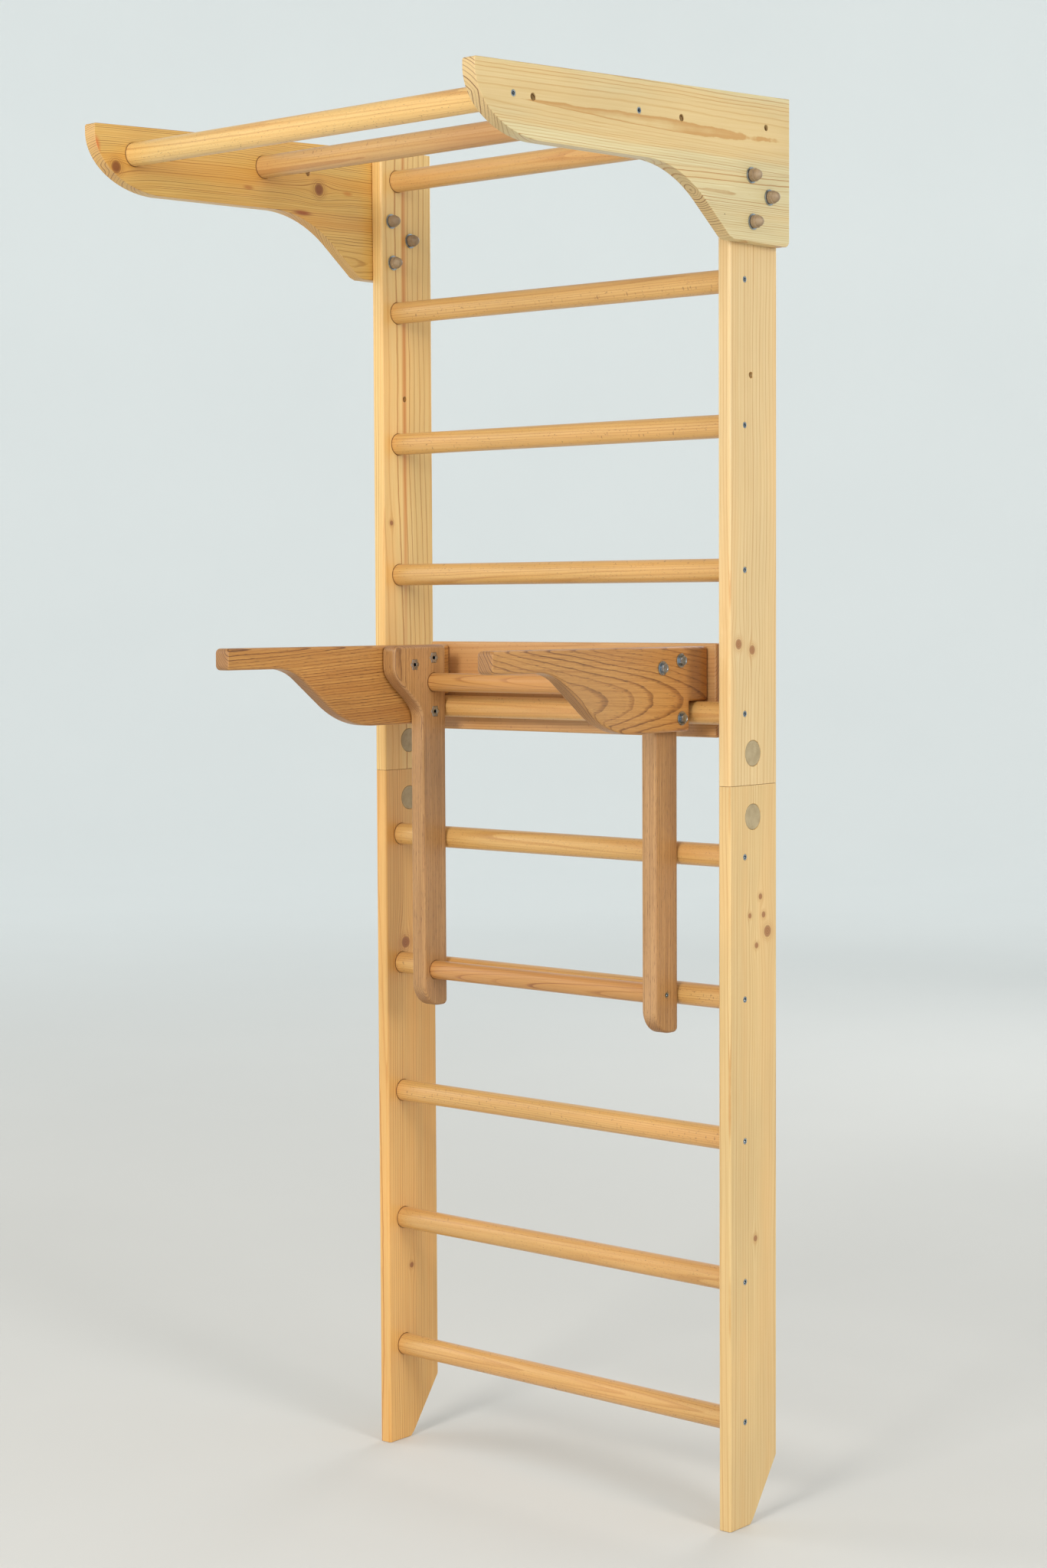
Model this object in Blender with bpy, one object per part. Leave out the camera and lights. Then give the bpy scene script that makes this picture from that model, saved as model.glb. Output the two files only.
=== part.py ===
"""Wooden wall bars with a pull-up bracket section and a lift-off dip station.

Metres, +Z up, +X to the right, -Y out into the room. The wall is the plane y = WALL_Y, the floor
is z = 0, and the origin is the middle of the bottom of the object's box. Every node is a separate
closed solid, and pieces that touch keep a gap of GAP between them.
"""

import math

import bmesh
import bpy
from mathutils import Matrix, Vector

# ---------------------------------------------------------------- driving dimensions
GAP = 0.0003               # clearance between pieces that touch
OVERCUT = 0.010            # how far a cutter runs past the face it opens

TOTAL_DEPTH = 0.705        # wall to the front ends of the pull-up brackets
LADDER_WIDTH = 0.724       # over the outer faces of the two posts
STOCK = 0.022              # thickness of the posts
BRACKET_STOCK = 0.022
POST_DEPTH = 0.120
POST_ROUND = 0.004         # rounding of the posts' long edges
POST_TOP = 2.137
POST_JOINT = 1.123         # height of the seam between lower and upper posts
FOOT_FLAT = 0.051          # depth of each foot on the floor
FOOT_TAPER_TOP = 0.096     # the back of the foot is cut away below this, to clear a skirting board

RUNG_COUNT = 10
RUNG_PITCH = 0.214
LOWEST_RUNG = 0.160        # height of the lowest rung's axis
RUNG_RADIUS = 0.0175
RUNG_SETBACK = 0.038       # rung axis behind the posts' front face
SOCKET_DEPTH = 0.012       # how far a rung goes into a post

BRACKET_BACK_TOP = 2.143
BRACKET_FRONT_TOP = 2.104
BRACKET_BOTTOM = 1.924
FRONT_BAR = (-0.508, 2.066)    # bar axes: in front of the posts' front face, height
MIDDLE_BAR = (-0.241, 2.079)
BRACKET_BOLTS = ((0.023, 2.020), (0.068, 1.9925), (0.027, 1.953))
BRACKET_HOLES = ((-0.468, 2.0665, 0.0050), (-0.144, 2.0815, 0.0050), (0.061, 2.0935, 0.0045))
POST_HOLE = (0.053, 1.7325, 0.0045)

JOINT_CAP_OFFSET = 0.0476      # seam to the centre of each access hole
JOINT_CAP_SETBACK = 0.058
ACCESS_RADIUS = 0.0195
JOINT_ROD_RADIUS = 0.004
JOINT_BORE_RADIUS = 0.0045

BOLT_RADIUS = 0.004
BOLT_BORE_RADIUS = 0.0044
WASHER_RADIUS = 0.0118
WASHER_THICKNESS = 0.0016
NUT_FLATS = 0.013
NUT_HEIGHT = 0.0065
ROD_PROUD = 0.0014         # how far a rod's end stands past its nut

ARM_STOCK = 0.027
ARM_OUTER_X = 0.277
ARM_TIP = -0.437               # arm tip in front of the posts' front face
ARM_TOP = 1.330
ARM_HANDLE_BOTTOM = 1.297
ARM_BOTTOM = 1.203
ARM_REAR = 0.060
NOTCH_FRONT = 0.015
STRUT_FRONT = -0.036
STRUT_HEAD_FRONT = -0.101
STRUT_BACK = 0.0202
STRUT_TOP = 1.3295
STRUT_BOTTOM = 0.745
CROSSBAR_RADIUS = 0.015
CROSSBAR_SETBACK = -0.008
CROSSBAR_SOCKET = 0.012
UPPER_CROSSBAR = 1.270
LOWER_CROSSBAR = 0.804
DIP_BOLTS = ((-0.053, 1.299), (-0.008, 1.3095), (-0.006, 1.223))
DIP_WASHER_RADIUS = 0.0105
BOLT_HEAD_HEIGHT = 0.0045
BOARD_HALF_LENGTH = 0.292
BOARD_THICKNESS = 0.020
BOARD_TOP = 1.3345
BOARD_BOTTOM = 1.1915
TEE_NUT_RADIUS = 0.0095
TEE_NUT_FLANGE = 0.0012

# ---------------------------------------------------------------- derived places
WALL_Y = TOTAL_DEPTH / 2
FRONT_Y = WALL_Y - POST_DEPTH              # the posts' front face
BRACKET_TIP_Y = -TOTAL_DEPTH / 2
POST_OUTER_X = LADDER_WIDTH / 2
POST_INNER_X = POST_OUTER_X - STOCK
BRACKET_INNER_X = POST_OUTER_X + GAP
BRACKET_OUTER_X = BRACKET_INNER_X + BRACKET_STOCK
RUNG_Y = FRONT_Y + RUNG_SETBACK
RUNG_BORE_RADIUS = RUNG_RADIUS + GAP
RUNG_HEIGHTS = [LOWEST_RUNG + RUNG_PITCH * (RUNG_COUNT - 1 - i) for i in range(RUNG_COUNT)]
ARM_INNER_X = ARM_OUTER_X - ARM_STOCK
STRUT_OUTER_X = ARM_INNER_X - GAP
STRUT_INNER_X = STRUT_OUTER_X - ARM_STOCK
NOTCH_TOP = RUNG_HEIGHTS[4] + RUNG_RADIUS + GAP
SIDES = (("left", -1), ("right", 1))

COLOURS = {
    "pine": ((0.80, 0.60, 0.34, 1.0), 0.45, 0.0),
    "beech": ((0.74, 0.46, 0.22, 1.0), 0.40, 0.0),
    "ash_stained": ((0.42, 0.21, 0.08, 1.0), 0.45, 0.0),
    "zinc": ((0.66, 0.68, 0.70, 1.0), 0.32, 1.0),
    "cap_plastic": ((0.30, 0.20, 0.13, 1.0), 0.50, 0.0),
    "plug_plastic": ((0.42, 0.36, 0.26, 1.0), 0.55, 0.0),
}


# ---------------------------------------------------------------- scene and mesh helpers
def clear_scene():
    """Empties the file, so that the script gives the same result each time."""
    for obj in list(bpy.data.objects):
        bpy.data.objects.remove(obj, do_unlink=True)


def add_object(name, bm):
    """Turns a bmesh into an object with its normals pointing out."""
    bmesh.ops.recalc_face_normals(bm, faces=bm.faces)
    mesh = bpy.data.meshes.new(name)
    bm.to_mesh(mesh)
    bm.free()
    obj = bpy.data.objects.new(name, mesh)
    bpy.context.scene.collection.objects.link(obj)
    return obj


def finish(obj, colour):
    """Gives a node its own material and smooth shading with sharp corners."""
    base, roughness, metallic = COLOURS[colour]
    material = bpy.data.materials.new(obj.name + "_material")
    material.use_nodes = True
    shader = material.node_tree.nodes["Principled BSDF"]
    shader.inputs["Base Color"].default_value = base
    shader.inputs["Roughness"].default_value = roughness
    shader.inputs["Metallic"].default_value = metallic
    obj.data.materials.clear()
    obj.data.materials.append(material)
    obj.data.shade_smooth()
    obj.data.set_sharp_from_angle(angle=math.radians(35))
    return obj


def bevel(obj, width, segments=1):
    """Rounds the edges that are sharper than 40 degrees."""
    modifier = obj.modifiers.new("rounding", "BEVEL")
    modifier.width = width
    modifier.segments = segments
    modifier.limit_method = "ANGLE"
    modifier.angle_limit = math.radians(40)
    return modifier


def cut(obj, cutter, operation="DIFFERENCE"):
    """Cuts obj with a hidden cutter."""
    cutter.hide_render = True
    cutter.display_type = "WIRE"
    modifier = obj.modifiers.new("cut", "BOOLEAN")
    modifier.operation = operation
    modifier.solver = "EXACT"
    modifier.object = cutter
    return modifier


def arc(centre, radius, start, end, steps):
    """Points of an arc in the side view, angles in degrees from +y towards +z."""
    points = []
    for i in range(steps + 1):
        angle = math.radians(start + (end - start) * i / steps)
        points.append((centre[0] + radius[0] * math.cos(angle), centre[1] + radius[1] * math.sin(angle)))
    return points


def corner(at, radius, start, end, steps=2):
    """A round corner: at is the centre of its arc."""
    return arc(at, (radius, radius), start, end, steps)


def side_plate(name, outline, x_low, x_high):
    """Extrudes an outline of (y, z) points along x, with y counted from the posts' front face."""
    bm = bmesh.new()
    low = [bm.verts.new((x_low, FRONT_Y + y, z)) for y, z in outline]
    face = bm.faces.new(low)
    extruded = bmesh.ops.extrude_face_region(bm, geom=[face])
    top = [v for v in extruded["geom"] if isinstance(v, bmesh.types.BMVert)]
    bmesh.ops.translate(bm, verts=top, vec=(x_high - x_low, 0, 0))
    return add_object(name, bm)


def eased_bar(name, y, z, radius, half_length, segments=16):
    """A round bar across the object, with a small chamfer at both ends."""
    ease = 0.001
    stations = [(-half_length, radius - ease), (-half_length + ease, radius),
                (half_length - ease, radius), (half_length, radius - ease)]
    obj = stepped_shaft(name, [(x, "round", r) for x, r in stations], segments)
    obj.location = (0, y, z)
    return obj


def ring_radius(shape, size, angle):
    """Distance from the axis to a section's edge. A hexagon's size is half its width over flats."""
    if shape == "round":
        return size
    sector = math.radians(60)
    return size / math.cos((angle + sector / 2) % sector - sector / 2)


def skin_rings(bm, rings):
    """Joins rings of points, each with the next, and closes both ends."""
    for first, second in zip(rings, rings[1:]):
        for i in range(len(first)):
            j = (i + 1) % len(first)
            bm.faces.new((first[i], first[j], second[j], second[i]))
    bm.faces.new(rings[0])
    bm.faces.new(rings[-1])


def stepped_shaft(name, stations, segments=12):
    """One closed solid along x through stations of (x, shape, size), such as a bolt with its head."""
    bm = bmesh.new()
    rings = []
    for x, shape, size in stations:
        ring = []
        for i in range(segments):
            angle = math.tau * i / segments
            r = ring_radius(shape, size, angle)
            ring.append(bm.verts.new((x, r * math.cos(angle), r * math.sin(angle))))
        rings.append(ring)
    skin_rings(bm, rings)
    return add_object(name, bm)


def lathe(name, profile, segments=12):
    """Turns a closed profile of (x, radius) points about the x axis. Radius 0 points close the ends."""
    bm = bmesh.new()
    rings = []
    for x, r in profile:
        if r == 0:
            rings.append([bm.verts.new((x, 0, 0))])
            continue
        angles = [math.tau * i / segments for i in range(segments)]
        rings.append([bm.verts.new((x, r * math.cos(a), r * math.sin(a))) for a in angles])
    for first, second in zip(rings, rings[1:]):
        for i in range(segments):
            j = (i + 1) % segments
            if len(first) == 1:
                bm.faces.new((first[0], second[j], second[i]))
            elif len(second) == 1:
                bm.faces.new((first[i], first[j], second[0]))
            else:
                bm.faces.new((first[i], first[j], second[j], second[i]))
    return add_object(name, bm)


def drill(obj, bores, side, segments=16):
    """Cuts stepped round holes along x in one go.

    A bore is (y, z, steps): y from the posts' front face, and steps of (distance from the
    middle plane, radius), going outwards on that side.
    """
    bm = bmesh.new()
    for y, z, steps in bores:
        rings = []
        for x, r in steps:
            angles = [math.tau * i / segments for i in range(segments)]
            rings.append([bm.verts.new((side * x, FRONT_Y + y + r * math.cos(a), z + r * math.sin(a)))
                          for a in angles])
        skin_rings(bm, rings)
    cut(obj, add_object(obj.name + "_drills", bm))


# ---------------------------------------------------------------- posts and rungs
def post_block(name, side, z_low, z_high):
    """A post as a prism with rounded long edges."""
    bm = bmesh.new()
    x_low, x_high = sorted((side * POST_INNER_X, side * POST_OUTER_X))
    y_low, y_high = FRONT_Y, WALL_Y
    corners = []
    r = POST_ROUND
    for cx, cy, start in ((x_high - r, y_high - r, 0), (x_low + r, y_high - r, 90),
                          (x_low + r, y_low + r, 180), (x_high - r, y_low + r, 270)):
        corners += corner((cx, cy), r, start, start + 90)
    face = bm.faces.new([bm.verts.new((x, y, z_low)) for x, y in corners])
    extruded = bmesh.ops.extrude_face_region(bm, geom=[face])
    top = [v for v in extruded["geom"] if isinstance(v, bmesh.types.BMVert)]
    bmesh.ops.translate(bm, verts=top, vec=(0, 0, z_high - z_low))
    return add_object(name, bm)


def through(y, z, radius, inner, outer):
    """A plain bore that runs past both faces of a board."""
    return (y, z, ((inner - OVERCUT, radius), (outer + OVERCUT, radius)))


def socket(y, z, radius, inner, depth):
    """A blind bore in the inner face of a board."""
    return (y, z, ((inner - OVERCUT, radius), (inner + depth, radius)))


def drill_joint_bore(post, side, direction):
    """The bore along the post, from the seam into the access hole."""
    bm = bmesh.new()
    z_low, z_high = sorted((POST_JOINT - direction * OVERCUT,
                            POST_JOINT + direction * JOINT_CAP_OFFSET))
    place = Matrix.Translation((side * (POST_OUTER_X - STOCK / 2), FRONT_Y + JOINT_CAP_SETBACK,
                                (z_low + z_high) / 2))
    bmesh.ops.create_cone(bm, cap_ends=True, segments=12, radius1=JOINT_BORE_RADIUS,
                          radius2=JOINT_BORE_RADIUS, depth=z_high - z_low, matrix=place)
    cut(post, add_object(post.name + "_bore", bm))


def foot_outline():
    """Side view of a lower post: the back of the foot is cut away above the skirting board."""
    heel = 0.008
    front, back, top = -OVERCUT, POST_DEPTH + OVERCUT, POST_JOINT + OVERCUT
    return [(front, -OVERCUT), (FOOT_FLAT - OVERCUT, -OVERCUT), (FOOT_FLAT, 0.0),
            (FOOT_FLAT + heel, heel), (POST_DEPTH, FOOT_TAPER_TOP),
            (back, FOOT_TAPER_TOP + 2 * OVERCUT), (back, top), (front, top)]


def make_posts():
    """Each side has a lower and an upper post, drilled for its rungs, its joint and its bracket."""
    upper_rungs = [z for z in RUNG_HEIGHTS if z > POST_JOINT]
    lower_rungs = [z for z in RUNG_HEIGHTS if z < POST_JOINT]
    for word, side in SIDES:
        for level, direction, heights in (("lower", -1, lower_rungs), ("upper", 1, upper_rungs)):
            name = f"{level}_post_{word}"
            if direction < 0:
                post = post_block(name, side, 0.0, POST_JOINT - GAP / 2)
                x_low, x_high = sorted((side * (POST_INNER_X - OVERCUT),
                                        side * (POST_OUTER_X + OVERCUT)))
                cut(post, side_plate(name + "_foot", foot_outline(), x_low, x_high), "INTERSECT")
            else:
                post = post_block(name, side, POST_JOINT + GAP / 2, POST_TOP)
            bores = [socket(RUNG_SETBACK, z, RUNG_BORE_RADIUS, POST_INNER_X, SOCKET_DEPTH)
                     for z in heights]
            bores.append(through(JOINT_CAP_SETBACK, POST_JOINT + direction * JOINT_CAP_OFFSET,
                                 ACCESS_RADIUS, POST_INNER_X, POST_OUTER_X))
            if direction > 0:
                bores.append(through(*POST_HOLE, POST_INNER_X, POST_OUTER_X))
                bores += [through(y, z, BOLT_BORE_RADIUS, POST_INNER_X, POST_OUTER_X)
                          for y, z in BRACKET_BOLTS]
            drill(post, bores, side)
            drill_joint_bore(post, side, direction)
            finish(post, "pine")


def make_rungs():
    """Ten round rungs, numbered from the top, each in a blind socket at both ends."""
    half_length = POST_INNER_X + SOCKET_DEPTH - GAP
    for i, z in enumerate(RUNG_HEIGHTS):
        finish(eased_bar(f"rung_{i + 1:02d}", RUNG_Y, z, RUNG_RADIUS, half_length), "beech")


def make_post_joints():
    """A rod with a washer and nut at each end, inside the access holes, and the caps that close them."""
    washer_from, nut_from, nut_to, rod_to = 0.0310, 0.0330, 0.0400, 0.0440
    washer_radius, half_flats = 0.0080, 0.0065
    half = [(nut_from, washer_radius), (washer_from, washer_radius)]
    for word, side in SIDES:
        centre = Vector((side * (POST_OUTER_X - STOCK / 2), FRONT_Y + JOINT_CAP_SETBACK, POST_JOINT))
        stations = [(-rod_to, "round", JOINT_ROD_RADIUS), (-nut_to, "round", JOINT_ROD_RADIUS),
                    (-nut_to, "hexagon", half_flats), (-nut_from, "hexagon", half_flats)]
        stations += [(-x, "round", r) for x, r in half]
        stations += [(-washer_from, "round", JOINT_ROD_RADIUS), (washer_from, "round", JOINT_ROD_RADIUS)]
        stations += [(x, "round", r) for x, r in reversed(half)]
        stations += [(nut_from, "hexagon", half_flats), (nut_to, "hexagon", half_flats),
                     (nut_to, "round", JOINT_ROD_RADIUS), (rod_to, "round", JOINT_ROD_RADIUS)]
        rod = stepped_shaft("post_joint_rod_" + word, stations)
        rod.rotation_euler = (0, math.radians(-90), 0)
        rod.location = centre
        finish(rod, "zinc")
        for level, direction in (("lower", -1), ("upper", 1)):
            for place, out in (("inner", -1), ("outer", 1)):
                cap = post_cap(f"post_cap_{level}_{place}_{word}")
                cap.location = centre + Vector((side * out * STOCK / 2, 0, direction * JOINT_CAP_OFFSET))
                if side * out < 0:
                    cap.rotation_euler = (0, 0, math.pi)
                finish(cap, "plug_plastic")


def post_cap(name):
    """A flush disc with a short gripping collar, facing +x, with its face at x = 0."""
    radius = ACCESS_RADIUS - GAP
    collar = 0.0180
    return lathe(name, [(0, 0), (0, radius), (-0.0036, radius - 0.0002), (-0.0036, collar),
                        (-0.0020, collar), (-0.0020, 0)], 16)


# ---------------------------------------------------------------- pull-up section
def bracket_outline():
    """Side view of a bracket, from its top rear corner round the nose to its bottom rear corner."""
    tip = BRACKET_TIP_Y - FRONT_Y
    nose = (0.130, 0.082)
    nose_ease, heel_round, foot_ease = 0.004, 0.010, 0.006
    beam_bottom_front, beam_bottom_back = 2.010, 2.0165
    cove_radius, cove_from, cove_angle = 0.212, -0.217, 38.7
    foot_corner = -0.025
    low = math.radians(90 - cove_angle)
    cove_end = Vector((cove_from + cove_radius * math.cos(low),
                       beam_bottom_back - cove_radius + cove_radius * math.sin(low)))
    foot = Vector((foot_corner, BRACKET_BOTTOM))
    points = [(POST_DEPTH, BRACKET_BACK_TOP)]
    points += corner((tip + nose_ease, BRACKET_FRONT_TOP - nose_ease), nose_ease, 90, 180)
    points += arc((tip + nose[0], beam_bottom_front + nose[1]), nose, 180, 270, 8)
    points += arc((cove_from, beam_bottom_back - cove_radius), (cove_radius, cove_radius),
                  90, 90 - cove_angle, 7)
    points += [tuple(foot + (cove_end - foot).normalized() * foot_ease)]
    points += [(foot_corner + foot_ease, BRACKET_BOTTOM)]
    points += corner((POST_DEPTH - heel_round, BRACKET_BOTTOM + heel_round), heel_round, -90, 0)
    return points


def make_brackets():
    """A shaped board on the outside of each upper post, with sockets for the two bars."""
    for word, side in SIDES:
        x_low, x_high = sorted((side * BRACKET_INNER_X, side * BRACKET_OUTER_X))
        bracket = side_plate("pullup_bracket_" + word, bracket_outline(), x_low, x_high)
        bevel(bracket, 0.0010)
        bores = [socket(y, z, RUNG_BORE_RADIUS, BRACKET_INNER_X, SOCKET_DEPTH)
                 for y, z in (FRONT_BAR, MIDDLE_BAR)]
        bores += [through(*hole, BRACKET_INNER_X, BRACKET_OUTER_X) for hole in BRACKET_HOLES]
        bores += [through(y, z, BOLT_BORE_RADIUS, BRACKET_INNER_X, BRACKET_OUTER_X)
                  for y, z in BRACKET_BOLTS]
        drill(bracket, bores, side)
        finish(bracket, "pine")


def make_pullup_bars():
    """The two bars between the brackets."""
    half_length = BRACKET_INNER_X + SOCKET_DEPTH - GAP
    for word, (y, z) in (("front", FRONT_BAR), ("middle", MIDDLE_BAR)):
        finish(eased_bar("pullup_bar_" + word, FRONT_Y + y, z, RUNG_RADIUS, half_length), "beech")


def nut_stations(face, proud):
    """Stations of a washer, a nut and the rod's end that stand on a face, going out along +x."""
    washer = face + GAP
    nut = washer + WASHER_THICKNESS
    end = nut + NUT_HEIGHT
    return [(washer, "round", BOLT_RADIUS), (washer, "round", WASHER_RADIUS),
            (nut, "round", WASHER_RADIUS), (nut, "hexagon", NUT_FLATS / 2),
            (end, "hexagon", NUT_FLATS / 2), (end, "round", BOLT_RADIUS),
            (end + proud, "round", BOLT_RADIUS)]


def bolt_cap(name):
    """A domed plastic cover over a nut: hollow, open at x = 0, with its dome towards +x."""
    outer, inner, neck, shoulder, height = 0.0096, 0.0080, 0.0088, 0.0070, 0.0165
    ceiling = 0.0115
    steps = 3
    dome = []
    for i in range(1, steps):
        angle = math.radians(90 * i / steps)
        dome.append((shoulder + (height - shoulder) * math.sin(angle), neck * math.cos(angle)))
    return lathe(name, [(ceiling, 0), (ceiling, 0.0055), (shoulder, inner), (0.0, inner), (0.0, outer),
                        (shoulder, outer), (shoulder, neck), *dome, (height, 0)])


def make_bracket_bolts():
    """Three rods with nuts and washers at both ends hold each bracket on its post, under domed covers."""
    middle = (POST_INNER_X + BRACKET_OUTER_X) / 2
    reach = (BRACKET_OUTER_X - POST_INNER_X) / 2
    outward = nut_stations(reach, ROD_PROUD)
    for word, side in SIDES:
        for i, (y, z) in enumerate(BRACKET_BOLTS):
            inward = [(-x, shape, size) for x, shape, size in reversed(outward)]
            bolt = stepped_shaft(f"bracket_bolt_{word}_{i + 1}", inward + outward)
            bolt.location = (side * middle, FRONT_Y + y, z)
            finish(bolt, "zinc")
            for place, out in (("inner", -1), ("outer", 1)):
                cover = bolt_cap(f"bolt_cap_{place}_{word}_{i + 1}")
                face = middle + out * (reach + 2 * GAP + WASHER_THICKNESS)
                cover.location = (side * face, FRONT_Y + y, z)
                if side * out < 0:
                    cover.rotation_euler = (0, 0, math.pi)
                finish(cover, "cap_plastic")


# ---------------------------------------------------------------- dip station
def arm_outline():
    """Side view of a dip arm: a straight handle, an S-curved underside and a notch over the rung."""
    cove, belly, slope = 0.090, 0.170, 37.0
    s, c = math.sin(math.radians(slope)), math.cos(math.radians(slope))
    drop = ARM_HANDLE_BOTTOM - ARM_BOTTOM
    straight = (drop - (cove + belly) * (1 - c)) / s
    handle_end = -0.330
    belly_end = handle_end + cove * s + straight * c + belly * s
    r = 0.006
    points = corner((ARM_REAR - r, ARM_TOP - r), r, 0, 90)
    points += corner((ARM_TIP + r, ARM_TOP - r), r, 90, 180)
    points += corner((ARM_TIP + r, ARM_HANDLE_BOTTOM + r), r, 180, 270)
    points += arc((handle_end, ARM_HANDLE_BOTTOM - cove), (cove, cove), 90, 90 - slope, 5)
    points += arc((belly_end, ARM_BOTTOM + belly), (belly, belly), 270 - slope, 270, 6)
    points += corner((NOTCH_FRONT - r, ARM_BOTTOM + r), r, 270, 360)
    points += [(NOTCH_FRONT, NOTCH_TOP)]
    points += corner((ARM_REAR - r, NOTCH_TOP + r), r, 270, 360)
    return points


def strut_outline():
    """Side view of a strut: a head that flares forward under the arm, and a foot with a round toe."""
    head_low, neck = 1.296, 1.212
    toe, heel = 0.038, 0.008
    points = corner((STRUT_BACK - 0.006, STRUT_TOP - 0.006), 0.006, 0, 90)
    points += corner((STRUT_HEAD_FRONT + 0.010, STRUT_TOP - 0.010), 0.010, 90, 180)
    steps = 7
    for i in range(steps + 1):
        t = i / steps
        swing = (1 - math.cos(math.pi * t)) / 2
        points.append((STRUT_HEAD_FRONT + (STRUT_FRONT - STRUT_HEAD_FRONT) * swing,
                       head_low + (neck - head_low) * t))
    points += corner((STRUT_FRONT + toe, STRUT_BOTTOM + toe), toe, 180, 270, 5)
    points += corner((STRUT_BACK - heel, STRUT_BOTTOM + heel), heel, 270, 360)
    return points


def tee_nut_stations(face):
    """Stations of the flange, sunk flush in the strut's inner face, going in along -x from the face."""
    return [(face, "round", TEE_NUT_RADIUS), (face + TEE_NUT_FLANGE, "round", TEE_NUT_RADIUS),
            (face + TEE_NUT_FLANGE, "round", BOLT_RADIUS)]


def make_dip_sides():
    """On each side an arm lies against the outer face of a strut, bolted together at three places."""
    for word, side in SIDES:
        x_low, x_high = sorted((side * ARM_INNER_X, side * ARM_OUTER_X))
        arm = side_plate("dip_arm_" + word, arm_outline(), x_low, x_high)
        bevel(arm, 0.0030)
        drill(arm, [through(y, z, BOLT_BORE_RADIUS, ARM_INNER_X, ARM_OUTER_X) for y, z in DIP_BOLTS], side)
        finish(arm, "ash_stained")

        x_low, x_high = sorted((side * STRUT_INNER_X, side * STRUT_OUTER_X))
        strut = side_plate("dip_strut_" + word, strut_outline(), x_low, x_high)
        bevel(strut, 0.0030)
        recess = STRUT_INNER_X + TEE_NUT_FLANGE + GAP
        bores = [(y, z, ((STRUT_INNER_X - OVERCUT, TEE_NUT_RADIUS + GAP), (recess, TEE_NUT_RADIUS + GAP),
                         (recess, BOLT_BORE_RADIUS), (STRUT_OUTER_X + OVERCUT, BOLT_BORE_RADIUS)))
                 for y, z in DIP_BOLTS]
        bores += [socket(CROSSBAR_SETBACK, z, CROSSBAR_RADIUS + GAP, STRUT_INNER_X, CROSSBAR_SOCKET)
                  for z in (UPPER_CROSSBAR, LOWER_CROSSBAR)]
        drill(strut, bores, side)
        finish(strut, "ash_stained")


def make_dip_crossbars():
    """Two thinner bars between the struts."""
    half_length = STRUT_INNER_X + CROSSBAR_SOCKET - GAP
    for word, z in (("upper", UPPER_CROSSBAR), ("lower", LOWER_CROSSBAR)):
        bar = eased_bar("dip_crossbar_" + word, FRONT_Y + CROSSBAR_SETBACK, z, CROSSBAR_RADIUS, half_length)
        finish(bar, "beech")


def make_dip_board():
    """The board across the back, which the arms' rear ends are screwed to. It passes behind a rung."""
    r = 0.004
    front = ARM_REAR + GAP
    back = front + BOARD_THICKNESS
    outline = []
    for y, z, start in ((back - r, BOARD_TOP - r, 0), (front + r, BOARD_TOP - r, 90),
                        (front + r, BOARD_BOTTOM + r, 180), (back - r, BOARD_BOTTOM + r, 270)):
        outline += corner((y, z), r, start, start + 90)
    board = side_plate("dip_back_board", outline, -BOARD_HALF_LENGTH, BOARD_HALF_LENGTH)
    bevel(board, 0.0015)
    finish(board, "beech")


def make_dip_bolts():
    """Hexagon-head bolts through arm and strut, each into a flush flanged nut in the strut."""
    middle = (STRUT_INNER_X + ARM_OUTER_X) / 2
    reach = (ARM_OUTER_X - STRUT_INNER_X) / 2
    head = reach + GAP + WASHER_THICKNESS
    ease = 0.0008
    top = head + BOLT_HEAD_HEIGHT + ease
    for word, side in SIDES:
        for i, (y, z) in enumerate(DIP_BOLTS):
            stations = tee_nut_stations(-reach)
            stations += [(reach + GAP, "round", BOLT_RADIUS), (reach + GAP, "round", DIP_WASHER_RADIUS),
                         (head, "round", DIP_WASHER_RADIUS), (head, "hexagon", NUT_FLATS / 2),
                         (top - ease, "hexagon", NUT_FLATS / 2), (top, "round", 0.9 * NUT_FLATS / 2)]
            bolt = stepped_shaft(f"dip_bolt_{word}_{i + 1}", stations)
            bolt.location = (side * middle, FRONT_Y + y, z)
            if side < 0:
                bolt.rotation_euler = (0, 0, math.pi)
            finish(bolt, "zinc")


def main():
    clear_scene()
    make_posts()
    make_rungs()
    make_post_joints()
    make_brackets()
    make_pullup_bars()
    make_bracket_bolts()
    make_dip_sides()
    make_dip_crossbars()
    make_dip_board()
    make_dip_bolts()


main()
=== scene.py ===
"""Looks of the wooden wall bars with their pull-up section and lift-off dip station.

Everything is in metres in the frame's own axes: the wall side is +Y, the room is -Y and +Z is up.
Each piece is modelled again around its CAD node, finer, with eased edges and a solid material, and
small hardware that the CAD leaves out is added.
"""

from math import cos, pi, radians, sin, tau

import bmesh
import bpy
from mathutils import Matrix, Vector


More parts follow.
